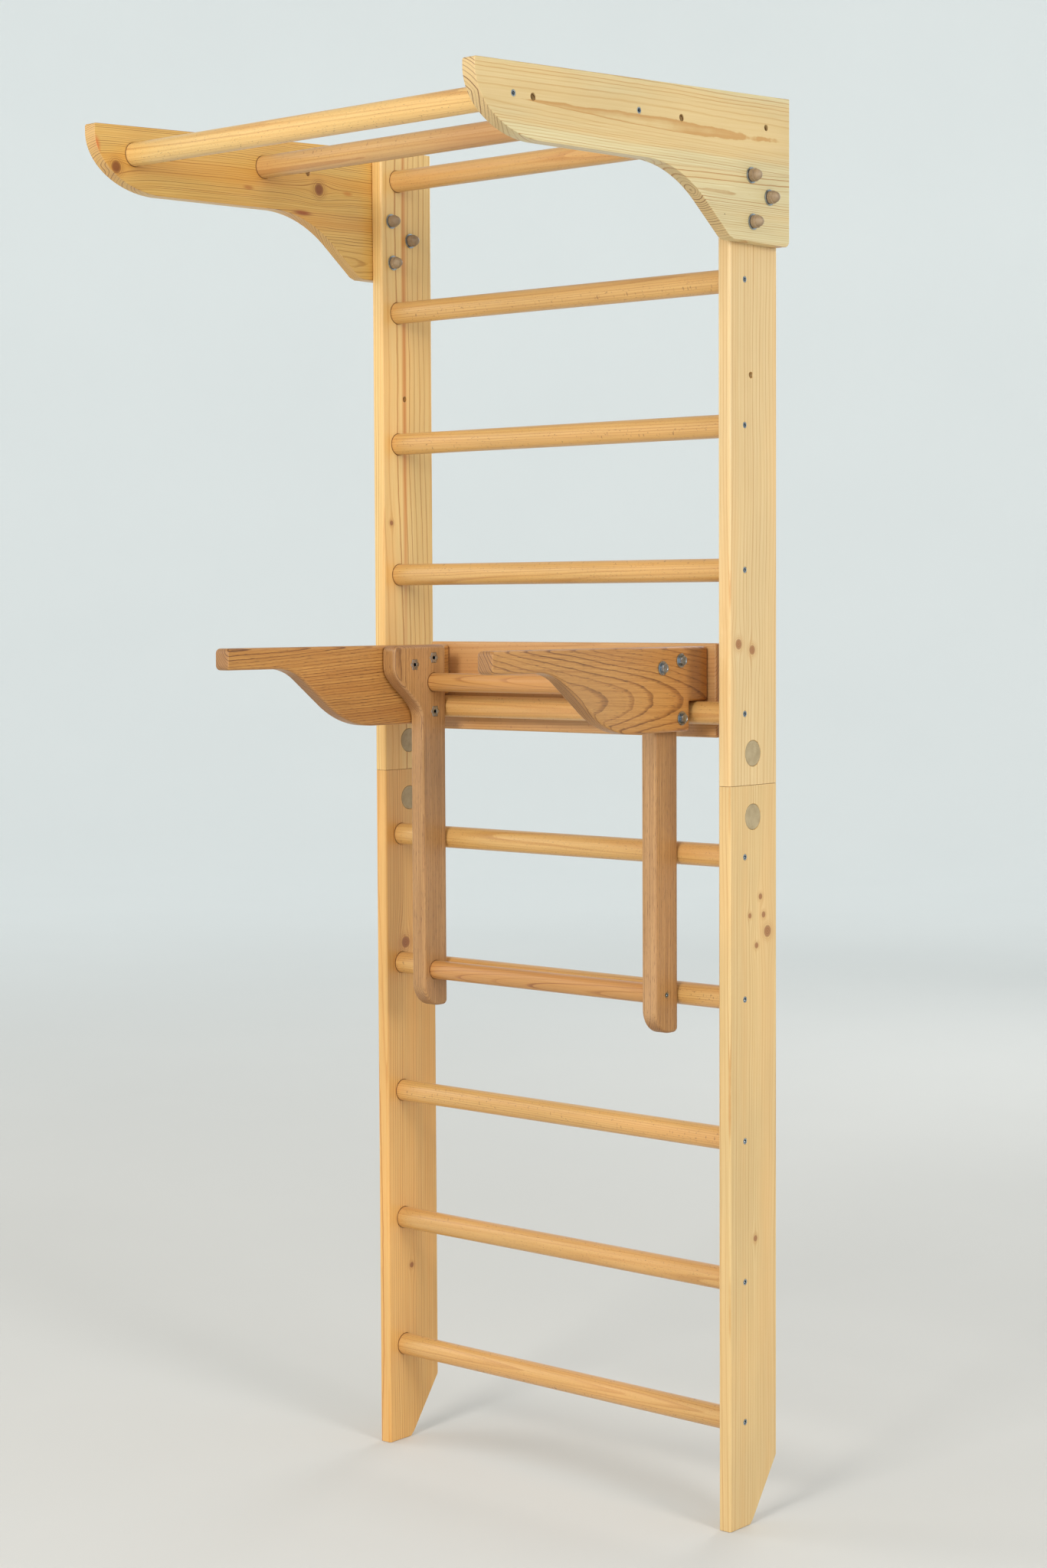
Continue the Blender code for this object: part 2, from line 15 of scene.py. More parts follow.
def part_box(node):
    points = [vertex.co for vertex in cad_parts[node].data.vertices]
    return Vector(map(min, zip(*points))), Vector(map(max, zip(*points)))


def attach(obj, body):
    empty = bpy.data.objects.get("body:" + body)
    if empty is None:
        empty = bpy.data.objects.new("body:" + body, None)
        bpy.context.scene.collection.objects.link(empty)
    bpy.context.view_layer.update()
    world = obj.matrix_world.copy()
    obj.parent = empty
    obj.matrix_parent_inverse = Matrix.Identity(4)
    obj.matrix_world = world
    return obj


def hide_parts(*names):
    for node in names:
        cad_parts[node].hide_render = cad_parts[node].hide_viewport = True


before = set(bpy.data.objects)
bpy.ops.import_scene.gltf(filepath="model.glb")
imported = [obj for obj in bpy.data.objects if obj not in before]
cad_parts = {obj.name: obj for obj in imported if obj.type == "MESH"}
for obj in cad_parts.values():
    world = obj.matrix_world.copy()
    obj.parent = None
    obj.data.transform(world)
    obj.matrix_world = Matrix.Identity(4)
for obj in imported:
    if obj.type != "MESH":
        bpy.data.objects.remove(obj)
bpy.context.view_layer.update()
scene = bpy.context.scene

# -------- places taken from the frame
UPPER_LOW, UPPER_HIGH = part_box("upper_post_right")
BRACKET_LOW, BRACKET_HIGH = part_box("pullup_bracket_right")
ARM_LOW, ARM_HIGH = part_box("dip_arm_right")
STRUT_LOW, STRUT_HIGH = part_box("dip_strut_right")
FRONT_Y, WALL_Y = UPPER_LOW.y, UPPER_HIGH.y
POST_INNER_X, POST_OUTER_X = UPPER_LOW.x, UPPER_HIGH.x
SIDES = (("left", -1), ("right", 1))
RUNGS = [f"rung_{i + 1:02d}" for i in range(10)]

# -------- shape details
GAP = 0.0003  # clearance between pieces that touch
OVERCUT = 0.010  # how far a cutter runs past the face it opens
PAST = 0.002  # the same for a drill
POST_ROUND = 0.004
FOOT_FLAT = 0.051
FOOT_HEEL = 0.008
FOOT_TAPER_TOP = 0.096
SOCKET_DEPTH = 0.012
HOLE_EASE = 0.0006  # chamfer at the mouth of a drilled hole
BRACKET_TOP_FALL = 0.039  # the top edge falls this much from the wall to the nose
BRACKET_HOLES = ((-0.468, 2.0665, 0.0050), (-0.144, 2.0815, 0.0050), (0.061, 2.0935, 0.0045))
POST_HOLE = (0.053, 1.7325, 0.0045)
ACCESS_RADIUS = 0.0195
BOLT_BORE_RADIUS = 0.0044
SCREW_HEAD_RADIUS = 0.0048
SCREW_SHANK_RADIUS = 0.0026
SCREW_HEX = 0.0050  # width of the socket in a screw's head, over flats
SCREW_LENGTH = 0.0092
SCREW_HOLE_DEPTH = 0.0095
ROD_RADIUS = 0.004
NUT_FLATS = 0.013
WASHER_THICKNESS = 0.0016
ARM_HANDLE_BOTTOM = 1.297
NOTCH_FRONT = 0.015
CROSSBAR_SOCKET = 0.012
CROSSBAR_SCREW_HOLE = 0.012  # depth
TEE_NUT_RADIUS = 0.0095
TEE_NUT_FLANGE = 0.0012
FINE = 64  # sides of a turned wooden part
MEDIUM = 48  # sides of a turned metal or plastic part
SCREW_HOLE_SIDES = 32
BOLT_HOLE_SIDES = 24


def middle(node):
    """The centre of a CAD node's box."""
    low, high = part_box(node)
    return (low + high) / 2


# -------- mesh helpers
def add_object(name, bm):
    """Turns a bmesh into an object with its faces pointing out."""
    bmesh.ops.recalc_face_normals(bm, faces=bm.faces)
    mesh = bpy.data.meshes.new(name)
    bm.to_mesh(mesh)
    bm.free()
    obj = bpy.data.objects.new(name, mesh)
    scene.collection.objects.link(obj)
    return obj


def apply_modifiers(obj):
    """Replaces the mesh with the one its modifiers give."""
    evaluated = obj.evaluated_get(bpy.context.evaluated_depsgraph_get())
    mesh = bpy.data.meshes.new_from_object(evaluated)
    obj.modifiers.clear()
    obj.data = mesh


def ease(obj, width, segments):
    """Rounds the sharp edges."""
    modifier = obj.modifiers.new("ease", "BEVEL")
    modifier.width = width
    modifier.segments = segments
    modifier.limit_method = "ANGLE"
    modifier.angle_limit = radians(40)
    apply_modifiers(obj)


def cut(obj, cutter):
    """Cuts obj with a cutter, and removes the cutter."""
    modifier = obj.modifiers.new("cut", "BOOLEAN")
    modifier.object = cutter
    apply_modifiers(obj)
    bpy.data.objects.remove(cutter)


def shade(obj, angle=32):
    """Smooth shading in which the large flat faces stay flat."""
    obj.data.shade_smooth()
    obj.data.set_sharp_from_angle(angle=radians(angle))
    modifier = obj.modifiers.new("flat faces", "WEIGHTED_NORMAL")
    modifier.keep_sharp = True
    apply_modifiers(obj)


def arc(centre, radius, start, end, steps):
    """Points of an arc, angles in degrees from the first axis towards the second."""
    points = []
    for i in range(steps + 1):
        angle = radians(start + (end - start) * i / steps)
        points.append((centre[0] + radius[0] * cos(angle),
                       centre[1] + radius[1] * sin(angle)))
    return points


def corner(at, radius, start, end, steps=6):
    """A round corner: at is the centre of its arc."""
    return arc(at, (radius, radius), start, end, steps)


def rounded_rectangle(low, high, r):
    """Outline of a rectangle with round corners, from two opposite corners."""
    centres = ((high[0] - r, high[1] - r), (low[0] + r, high[1] - r),
               (low[0] + r, low[1] + r), (high[0] - r, low[1] + r))
    return [p for i, centre in enumerate(centres) for p in corner(centre, r, 90 * i, 90 * i + 90)]


def prism(name, outline, axis, low, high):
    """Extrudes an outline along x, as (y, z) points, or along z, as (x, y) points."""
    bm = bmesh.new()
    first = [bm.verts.new((low, a, b) if axis == "x" else (a, b, low)) for a, b in outline]
    face = bm.faces.new(first)
    extruded = bmesh.ops.extrude_face_region(bm, geom=[face])
    far = [v for v in extruded["geom"] if isinstance(v, bmesh.types.BMVert)]
    bmesh.ops.translate(bm, verts=far, vec=(high - low, 0, 0) if axis == "x" else (0, 0, high - low))
    return add_object(name, bm)


def side_board(node, outline, inner, outer, side):
    """A board that lies to one side of the middle plane, in side view."""
    return prism(node + "_look", outline, "x", *sorted((side * inner, side * outer)))


def hexagon(flats, angle):
    """Distance from the axis to the edge of a hexagon."""
    sector = radians(60)
    return flats / 2 / cos((angle + sector / 2) % sector - sector / 2)


def skin(bm, rings, open_end=False):
    """Joins rings of vertices, each with the next, and closes the ends."""
    for first, second in zip(rings, rings[1:]):
        for i in range(len(first)):
            j = (i + 1) % len(first)
            bm.faces.new((first[i], first[j], second[j], second[i]))
    bm.faces.new(rings[0])
    if not open_end:
        bm.faces.new(rings[-1])


def spindle(bm, y, z, stations, segments):
    """Adds a closed solid about an axis along x. A station is (x, radius or function of the angle)."""
    rings = []
    for x, radius in stations:
        ring = []
        for i in range(segments):
            angle = tau * i / segments
            r = radius(angle) if callable(radius) else radius
            ring.append(bm.verts.new((x, y + r * cos(angle), z + r * sin(angle))))
        rings.append(ring)
    skin(bm, rings)


def turned(name, stations, segments=MEDIUM):
    """A turned piece about the x axis."""
    bm = bmesh.new()
    spindle(bm, 0.0, 0.0, stations, segments)
    return add_object(name, bm)


def both_ways(outward):
    """Stations of a shaft that is alike at both ends, from those of one half."""
    return [(-x, r) for x, r in reversed(outward)] + outward


def face_out(obj, at, out):
    """Moves a piece that faces +x to its place, and turns it round where it has to face -x."""
    obj.data.transform(Matrix.Translation(at) @ Matrix.Rotation(0 if out > 0 else pi, 4, "Z"))


def bore(y, z, stations, direction=1, segments=MEDIUM):
    """One round cutter along x. Stations are (distance from the middle plane, radius)."""
    return (y, z, [(direction * x, r) for x, r in stations], segments)


def drill(obj, bores):
    """Cuts all the bores of a piece in one go."""
    bm = bmesh.new()
    for each in bores:
        spindle(bm, *each)
    cut(obj, add_object(obj.name + "_drills", bm))


def through(radius, inner, outer):
    """Stations of a hole with an eased mouth on both faces."""
    flare = HOLE_EASE + PAST
    return ((inner - PAST, radius + flare), (inner + HOLE_EASE, radius),
            (outer - HOLE_EASE, radius), (outer + PAST, radius + flare))


def blind(radius, inner, depth):
    """Stations of a socket in an inner face."""
    return ((inner - PAST, radius + HOLE_EASE + PAST), (inner + HOLE_EASE, radius),
            (inner + depth, radius))


def bar_socket(bar, inner, depth, side):
    """The socket for one end of a round bar."""
    at = middle(bar)
    return bore(at.y, at.z, blind(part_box(bar)[1].z - at.z + GAP, inner, depth), side, FINE)


def screw_hole(at, outer, side, depth=SCREW_HOLE_DEPTH):
    """A screw hole with its countersink in the outer face."""
    head = SCREW_HEAD_RADIUS + GAP
    slope = head - SCREW_SHANK_RADIUS
    stations = ((outer - depth, SCREW_SHANK_RADIUS), (outer - slope, SCREW_SHANK_RADIUS),
                (outer, head), (outer + PAST, head))
    return bore(at.y, at.z, stations, side, SCREW_HOLE_SIDES)


def bolt_places(kind, word):
    """The centres of the three bolts of one kind on one side."""
    return [middle(f"{kind}_bolt_{word}_{i + 1}") for i in range(3)]


def bolt_holes(bolts, inner, outer, side):
    """Holes for bolts through a board from its inner to its outer face."""
    stations = through(BOLT_BORE_RADIUS, inner, outer)
    return [bore(at.y, at.z, stations, side, BOLT_HOLE_SIDES) for at in bolts]


# -------- material graphs
class Graph:
    """A short way to write a material's node graph. Values may be sockets or plain numbers."""

    def __init__(self, name):
        self.material = bpy.data.materials.new(name)
        self.material.use_nodes = True
        self.tree = self.material.node_tree
        self.shader = self.tree.nodes["Principled BSDF"]

    def node(self, kind, inputs, **settings):
        node = self.tree.nodes.new("ShaderNode" + kind)
        for key, value in settings.items():
            setattr(node, key, value)
        for key, value in inputs.items():
            self.put(node.inputs[key], value)
        return node

    def put(self, socket, value):
        if isinstance(value, bpy.types.NodeSocket):
            self.tree.links.new(value, socket)
        else:
            socket.default_value = value

    def math(self, operation, a, b=0.0):
        return self.node("Math", {0: a, 1: b}, operation=operation).outputs[0]

    def sum(self, *values):
        total = values[0]
        for value in values[1:]:
            total = self.math("ADD", total, value)
        return total

    def times(self, a, b):
        return self.math("MULTIPLY", a, b)

    def centred(self, share):
        """A value from 0 to 1 becomes one from -0.5 to 0.5."""
        return self.sum(share, -0.5)

    def vector(self, operation, a, b):
        return self.node("VectorMath", {0: a, 1: b}, operation=operation).outputs["Vector"]

    def dot(self, a, b):
        return self.node("VectorMath", {0: a, 1: b}, operation="DOT_PRODUCT").outputs["Value"]

    def length(self, a):
        return self.node("VectorMath", {0: a}, operation="LENGTH").outputs["Value"]

    def combine(self, x, y, z):
        return self.node("CombineXYZ", {0: x, 1: y, 2: z}).outputs[0]

    def noise(self, vector, scale=1.0, detail=2.0, rough=0.5):
        inputs = {"Vector": vector, "Scale": scale, "Detail": detail, "Roughness": rough}
        return self.node("TexNoise", inputs).outputs["Fac"]

    def noise_line(self, w, detail=1.0):
        """Noise along one number."""
        inputs = {"W": w, "Scale": 1.0, "Detail": detail}
        return self.node("TexNoise", inputs, noise_dimensions="1D").outputs["Fac"]

    def chance(self, w):
        """One random number for each whole number."""
        return self.node("TexWhiteNoise", {"W": w}, noise_dimensions="1D").outputs["Value"]

    def step(self, value, low, high, to_low=0.0, to_high=1.0):
        """A smooth step from to_low, below low, to to_high, above high."""
        inputs = {"Value": value, "From Min": low, "From Max": high, "To Min": to_low, "To Max": to_high}
        return self.node("MapRange", inputs, interpolation_type="SMOOTHSTEP").outputs["Result"]

    def mix(self, factor, a, b, blend="MIX"):
        node = self.node("Mix", {0: factor, 6: a, 7: b}, data_type="RGBA", blend_type=blend)
        return node.outputs[2]

    def ramp(self, factor, stops):
        """A colour for each place from 0 to 1."""
        node = self.node("ValToRGB", {0: factor})
        elements = node.color_ramp.elements
        while len(elements) < len(stops):
            elements.new(1.0)
        for element, (place, colour) in zip(elements, stops):
            element.position = place
            element.color = colour
        return node.outputs[0]

    def bump(self, height, strength, distance):
        inputs = {"Height": height, "Strength": strength, "Distance": distance}
        return self.node("Bump", inputs).outputs["Normal"]

    def finish(self, colour, roughness, normal, **constants):
        self.put(self.shader.inputs["Base Color"], colour)
        self.put(self.shader.inputs["Roughness"], roughness)
        self.put(self.shader.inputs["Normal"], normal)
        for name, value in constants.items():
            self.shader.inputs[name.replace("_", " ")].default_value = value
        return self.material


def rgb(red, green, blue):
    """A linear colour from sRGB values of 0 to 255."""
    def linear(c):
        c /= 255
        return c / 12.92 if c <= 0.04045 else ((c + 0.055) / 1.055) ** 2.4
    return (linear(red), linear(green), linear(blue), 1.0)


# -------- wood
PINE = dict(
    early=rgb(242, 209, 144), mid=rgb(231, 188, 114), late=rgb(182, 118, 52),
    tint=rgb(232, 166, 86), tint_share=0.45, knot=rgb(122, 62, 30),
    end_light=rgb(216, 172, 104), end_dark=rgb(132, 78, 34),
    spacing=0.0044, late_from=0.70, contrast=0.80, wander=0.010, ripple=0.0007,
    taper=0.006, streaks=0.30, fibres=0.30, flecks=0.0, pores=0.0,
    roughness=0.42, relief=0.25, coat=0.25,
)
PALE_PINE = dict(PINE, early=rgb(234, 205, 153), mid=rgb(221, 186, 128), late=rgb(194, 138, 76),
                 tint=rgb(222, 174, 110), contrast=0.65)
FADED_PINE = dict(PALE_PINE, early=rgb(230, 200, 144), mid=rgb(217, 180, 119))
ORANGE_PINE = dict(PINE, early=rgb(235, 192, 122), mid=rgb(222, 166, 92), late=rgb(186, 118, 52))
GREEN_PINE = dict(PALE_PINE, early=rgb(223, 208, 163), mid=rgb(210, 189, 138), late=rgb(176, 124, 62),
                  tint=rgb(214, 168, 96), tint_share=0.45, end_light=rgb(220, 188, 132),
                  end_dark=rgb(112, 64, 30), spacing=0.0052, late_from=0.64, contrast=0.80,
                  wander=0.007, ripple=0.0012)
GOLDEN_PINE = dict(PINE, early=rgb(232, 194, 114), mid=rgb(213, 165, 82), late=rgb(142, 84, 32),
                   tint=rgb(212, 140, 52), spacing=0.0033, contrast=0.92, wander=0.014, ripple=0.0013)
BEECH = dict(
    early=rgb(226, 184, 116), mid=rgb(211, 162, 94), late=rgb(176, 118, 60),
    tint=rgb(206, 142, 84), tint_share=0.35, knot=rgb(120, 70, 40),
    end_light=rgb(196, 146, 92), end_dark=rgb(150, 98, 56),
    spacing=0.0034, late_from=0.45, contrast=0.42, wander=0.006, ripple=0.0005,
    taper=0.010, streaks=0.30, fibres=0.30, flecks=0.55, pores=0.0,
    roughness=0.40, relief=0.20, coat=0.30,
)
PALE_BEECH = dict(BEECH, early=rgb(237, 202, 134), mid=rgb(226, 183, 110))
BROWN_BEECH = dict(BEECH, early=rgb(220, 180, 118), mid=rgb(202, 155, 94))
CROSSBAR = dict(BEECH, early=rgb(206, 154, 90), mid=rgb(190, 134, 70), late=rgb(146, 88, 42),
                contrast=0.80, late_from=0.74, spacing=0.0030, flecks=0.12, taper=0.030)
BOARD = dict(BEECH, early=rgb(212, 166, 110), mid=rgb(198, 148, 93), late=rgb(166, 114, 67),
             contrast=0.45, flecks=0.25)
HONEY_ASH = dict(
    early=rgb(208, 155, 84), mid=rgb(180, 124, 62), late=rgb(110, 66, 28),
    tint=rgb(172, 112, 52), tint_share=0.55, knot=rgb(92, 54, 24),
    end_light=rgb(168, 120, 72), end_dark=rgb(84, 50, 28),
    spacing=0.0038, late_from=0.66, contrast=0.80, wander=0.016, ripple=0.0011,
    taper=0.025, streaks=0.42, fibres=0.45, flecks=0.0, pores=0.70,
    roughness=0.45, relief=0.35, coat=0.20,
)
TAUPE_ASH = dict(HONEY_ASH, early=rgb(196, 150, 94), mid=rgb(168, 120, 70), late=rgb(112, 74, 40),
                 tint=rgb(196, 152, 108), spacing=0.0028, ripple=0.0009, wander=0.010, taper=0.012,
                 contrast=0.58)


def knot_field(g, point, along, knots):
    """Bends the grain round each knot. Gives the bent place and each knot's distance and radius."""
    bent = point
    discs = []
    for centre, axis, radius in knots:
        axis = Vector(axis).normalized()
        offset = g.vector("SUBTRACT", point, centre)
        axial = g.vector("MULTIPLY", axis, g.dot(offset, axis))
        lateral = g.vector("SUBTRACT", offset, axial)
        lengthwise = g.vector("MULTIPLY", along * 0.55, g.dot(lateral, along))
        reach = g.length(g.vector("SUBTRACT", lateral, lengthwise))
        spread = g.math("DIVIDE", reach, radius * 3.2)
        pull = g.math("EXPONENT", g.times(g.times(spread, spread), -1.0))
        share = g.math("DIVIDE", g.times(pull, radius * 1.5), g.math("ADD", reach, radius * 0.5))
        bent = g.vector("SUBTRACT", bent, g.vector("MULTIPLY", lateral, share))
        discs.append((g.length(lateral), radius))
    return bent, discs


def paint_knots(g, colour, kind, discs):
    """The dark disc of each knot, with its own fine rings and a darker rim."""
    for distance, radius in discs:
        rings = g.math("FRACT", g.math("DIVIDE", distance, radius / 4.5))
        inside = g.step(distance, radius * 0.82, radius * 1.02, 1.0, 0.0)
        core = g.mix(g.times(rings, 0.35), kind["knot"], kind["late"])
        colour = g.mix(g.times(inside, 0.95), colour, core)
        rim = g.math("DIVIDE", g.math("SUBTRACT", distance, radius), radius * 0.16)
        rim = g.math("EXPONENT", g.times(g.times(rim, rim), -1.0))
        colour = g.mix(g.times(rim, 0.75), colour, kind["knot"])
        around = g.step(distance, radius, radius * 3.0, 1.0, 0.0)
        eye = g.step(g.math("FRACT", g.math("DIVIDE", distance, radius * 0.42)), 0.55, 0.85)
        colour = g.mix(g.times(around, g.sum(g.times(eye, 0.5), 0.22)), colour, kind["late"])
    return colour


def stretched(g, place, across, along, shift=None):
    """Coordinates scaled by one factor across the fibres and by another along them."""
    u, v, w = place
    length = g.times(w, along)
    if shift is not None:
        length = g.sum(length, shift)
    return g.combine(g.times(u, across), g.times(v, across), length)


def ring_pattern(g, kind, place, seed, extra):
    """Growth rings about the wandering pith. Gives the radius, the place within a ring and the
    strength of its dark late wood. extra widens the radius on a side where the rings lie closer."""
    u, v, w = place
    drift = stretched(g, place, 2.0, 1.3, g.times(seed, 3.7))
    ripple = stretched(g, place, 28.0, 7.0, g.times(seed, 5.3))
    jitter = stretched(g, place, 75.0, 38.0, g.times(seed, 2.9))
    elsewhere = g.vector("ADD", drift, (7.1, 3.3, 9.7))
    sway_u = g.times(g.centred(g.noise(drift)), kind["wander"] * 2)
    sway_v = g.times(g.centred(g.noise(elsewhere)), kind["wander"] * 2)
    wave = g.sum(g.times(g.centred(g.noise(ripple)), kind["ripple"] * 2),
                 g.times(g.centred(g.noise(jitter, detail=3.0)), kind["ripple"]))
    radius = g.length(g.combine(g.sum(u, sway_u), g.sum(v, sway_v), 0.0))
    radius = g.sum(radius, wave, g.times(w, kind["taper"]), extra)
    counted = g.math("DIVIDE", radius, kind["spacing"])
    uneven = g.times(g.noise_line(g.sum(g.times(counted, 0.25), seed)), 1.1)
    phase = g.sum(counted, uneven, g.times(seed, 0.37))
    share = g.math("FRACT", phase)
    rise = g.step(share, kind["late_from"], 0.95)
    fall = g.step(share, 0.96, 1.0, 1.0, 0.0)
    draw = g.chance(g.sum(g.math("FLOOR", phase), g.times(seed, 11.0)))
    strength = g.step(draw, 0.0, 1.0, 0.35, 1.0)
    return radius, share, g.times(g.times(rise, fall), strength)


def wood(name, kind, grain, pith, seed, knots=(), patches=(), socket_shade_at=None, lower_board=None,
         dense=None):
    """Solid wood: growth rings about a wandering pith, so faces, ends and curves all agree.

    grain is the direction of the fibres and pith a point on the pith. A patch is (centre, radii,
    colour, share). socket_shade_at is where along x a bar goes into a board; just outside it a thin
    ring of painted shade stands in for the shadow in the gap there. lower_board is (height of the glue
    line, pith) of a second board, and dense (direction, share) makes rings lie closer there.
    """
    g = Graph(name)
    coordinates = g.node("TexCoord", {}).outputs
    point = coordinates["Object"]
    along = Vector(grain).normalized()
    side = along.orthogonal().normalized()
    across = along.cross(side)
    bent, discs = knot_field(g, point, along, knots)
    from_pith = g.vector("SUBTRACT", bent, pith)
    glue = 0.0
    if lower_board:
        seam, second_pith = lower_board
        upright = Vector((0, -along.z, along.y))
        height = g.dot(g.vector("SUBTRACT", point, (0.0, 0.0, seam)), upright)
        lower = g.math("LESS_THAN", height, 0.0)
        shift = Vector(pith) - Vector(second_pith)
        from_pith = g.vector("ADD", from_pith, g.vector("MULTIPLY", shift, lower))
        seed = g.sum(g.times(lower, 4.3), seed)
        glue = g.math("LESS_THAN", g.math("ABSOLUTE", height), 0.00035)
    u, v, w = inside = [g.dot(from_pith, axis) for axis in (side, across, along)]
    extra = 0.0
    if dense:
        direction, amount = dense
        extra = g.times(g.math("MAXIMUM", g.dot(from_pith, direction), 0.0), amount)
    radius, share, late = ring_pattern(g, kind, inside, seed, extra)

    fibre = g.noise(stretched(g, inside, 1300.0, 14.0))
    streak = g.noise(stretched(g, inside, 420.0, 3.5, seed), detail=4.0, rough=0.65)
    band = g.noise_line(g.sum(g.times(radius, 24.0), g.times(seed, 2.3)), detail=2.0)
    blotch = g.noise(stretched(g, inside, 11.0, 2.6, g.times(seed, 1.9)), detail=3.0)

    tone = g.sum(g.times(late, kind["contrast"]), g.times(g.centred(streak), kind["streaks"] * 2.0),
                 g.times(g.centred(fibre), kind["fibres"] * 1.5), 0.22)
    colour = g.ramp(tone, [(0.0, kind["early"]), (0.35, kind["mid"]), (1.0, kind["late"])])
    warm = g.step(g.sum(g.times(band, 0.6), g.times(blotch, 0.4)), 0.42, 0.66)
    colour = g.mix(g.times(warm, kind["tint_share"]), colour, kind["tint"])
    shade_of = g.step(blotch, 0.3, 0.7, 0.93, 1.05)
    colour = g.mix(1.0, colour, g.combine(shade_of, shade_of, shade_of), "MULTIPLY")
    height = g.sum(g.times(late, 0.5), g.times(fibre, 0.35))

    if kind["flecks"]:
        turn = g.times(g.math("ARCTAN2", v, u), 0.04)
        flat = g.combine(g.times(radius, 70.0), g.times(turn, 1500.0), g.times(w, 260.0))
        ray = g.noise(flat, detail=1.0)
        fleck = g.step(ray, 0.64, 0.74, 0.0, kind["flecks"])
        colour = g.mix(fleck, colour, kind["knot"])
        height = g.sum(height, g.times(fleck, -0.4))
    if kind["pores"]:
        open_grain = g.noise(stretched(g, inside, 1200.0, 80.0), detail=1.0)
        pore = g.times(g.step(open_grain, 0.56, 0.68), g.step(share, 0.35, 0.95, 0.25, 1.0))
        colour = g.mix(g.times(pore, kind["pores"]), colour, kind["knot"])
        height = g.sum(height, g.times(pore, -0.7))
    for centre, radii, patch_colour, amount in patches:
        scaled = g.vector("DIVIDE", g.vector("SUBTRACT", point, centre), radii)
        near = g.step(g.length(scaled), 0.2, 1.0, amount, 0.0)
        colour = g.mix(near, colour, patch_colour)
    colour = paint_knots(g, colour, kind, discs)
    facing = g.math("ABSOLUTE", g.dot(coordinates["Normal"], along))
    end = g.step(facing, 0.20, 0.75, 0.0, 0.90)
    end_tone = g.sum(g.times(late, 1.2), g.times(g.centred(fibre), 0.9), 0.1)
    end_colour = g.ramp(end_tone, [(0.0, kind["end_light"]), (1.0, kind["end_dark"])])
    colour = g.mix(end, colour, end_colour)
    if lower_board:
        colour = g.mix(g.times(glue, 0.5), colour, kind["late"])
    # Painted shade: a thin dark ring on the bar just before it enters its socket, standing in for the
    # shadow in the gap.
    if socket_shade_at is not None:
        x = g.math("ABSOLUTE", g.dot(point, (1.0, 0.0, 0.0)))
        line = g.step(x, socket_shade_at - 0.0016, socket_shade_at - 0.0004, 0.0, 0.75)
        colour = g.mix(line, colour, kind["knot"])

    roughness = g.sum(kind["roughness"], g.times(g.centred(fibre), 0.18), g.times(late, -0.06),
                      g.times(end, 0.2))
    normal = g.bump(height, kind["relief"], 0.0005)
    return g.finish(colour, roughness, normal, Coat_Weight=kind["coat"], Coat_Roughness=0.28)


# -------- metal and plastic
def plated(name, dull, usual, bright):
    """Metal plating: faint crystals, fine scratches and duller patches."""
    g = Graph(name)
    point = g.node("TexCoord", {}).outputs["Object"]
    crystals = g.node("TexVoronoi", {"Vector": point, "Scale": 900.0}).outputs["Color"]
    grey = g.dot(crystals, (0.33, 0.33, 0.33))
    patch = g.noise(point, scale=120.0, detail=3.0)
    scratch = g.noise(g.vector("MULTIPLY", point, (300.0, 2600.0, 500.0)))
    tone = g.sum(g.times(grey, 0.35), g.times(patch, 0.65))
    colour = g.ramp(tone, [(0.25, dull), (0.6, usual), (0.9, bright)])
    roughness = g.sum(0.14, g.times(patch, 0.22), g.times(scratch, 0.10))
    normal = g.bump(g.sum(g.times(scratch, 0.5), g.times(grey, 0.2)), 0.25, 0.0002)
    return g.finish(colour, roughness, normal, Metallic=1.0)


def plastic(name, light, dark, roughness_base):
    """Moulded plastic: a fine grained surface, faint flow marks and scuffs."""
    g = Graph(name)
    point = g.node("TexCoord", {}).outputs["Object"]
    flow = g.noise(point, scale=85.0, detail=3.0)
    grain = g.noise(point, scale=1700.0)
    scuff = g.step(g.noise(g.vector("MULTIPLY", point, (220.0, 220.0, 1300.0))), 0.62, 0.75)
    colour = g.mix(g.step(g.sum(g.times(flow, 0.7), g.times(grain, 0.3)), 0.3, 0.7), dark, light)
    colour = g.mix(g.times(scuff, 0.18), colour, rgb(225, 215, 195))
    roughness = g.sum(roughness_base, g.times(grain, 0.16), g.times(scuff, 0.12))
    normal = g.bump(g.sum(grain, g.times(scuff, -0.4)), 0.30, 0.00015)
    return g.finish(colour, roughness, normal)


ZINC = plated("zinc_plating", rgb(128, 138, 146), rgb(172, 182, 190), rgb(214, 221, 226))
# Painted shade: a near-black steel laid on the insides of hex sockets, where shadow falls.
RECESS_SHADE = plated("painted_recess_shade", rgb(34, 33, 32), rgb(50, 49, 47), rgb(78, 76, 73))
CAP_PLASTIC = plastic("brown_cap_plastic", rgb(166, 141, 110), rgb(138, 114, 86), 0.42)
PLUG_PLASTIC = plastic("beige_plug_plastic", rgb(182, 162, 126), rgb(162, 142, 106), 0.50)


def paint_recess_shade(obj, polygons):
    """Paints shade into the recess faces of a piece of hardware: a near-black steel standing in for the
    shadow inside a socket.
    """
    obj.data.materials.append(RECESS_SHADE)
    for polygon in polygons:
        polygon.material_index = 1


def place(obj, node, material, slot, body="wall_bars"):
    """Gives a piece its material and body, and lets it stand for its CAD node, if it has one. The slot
    argument is not used.
    """
    obj.data.materials.clear()
    obj.data.materials.append(material)
    shade(obj)
    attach(obj, body)
    if node:
        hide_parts(node)


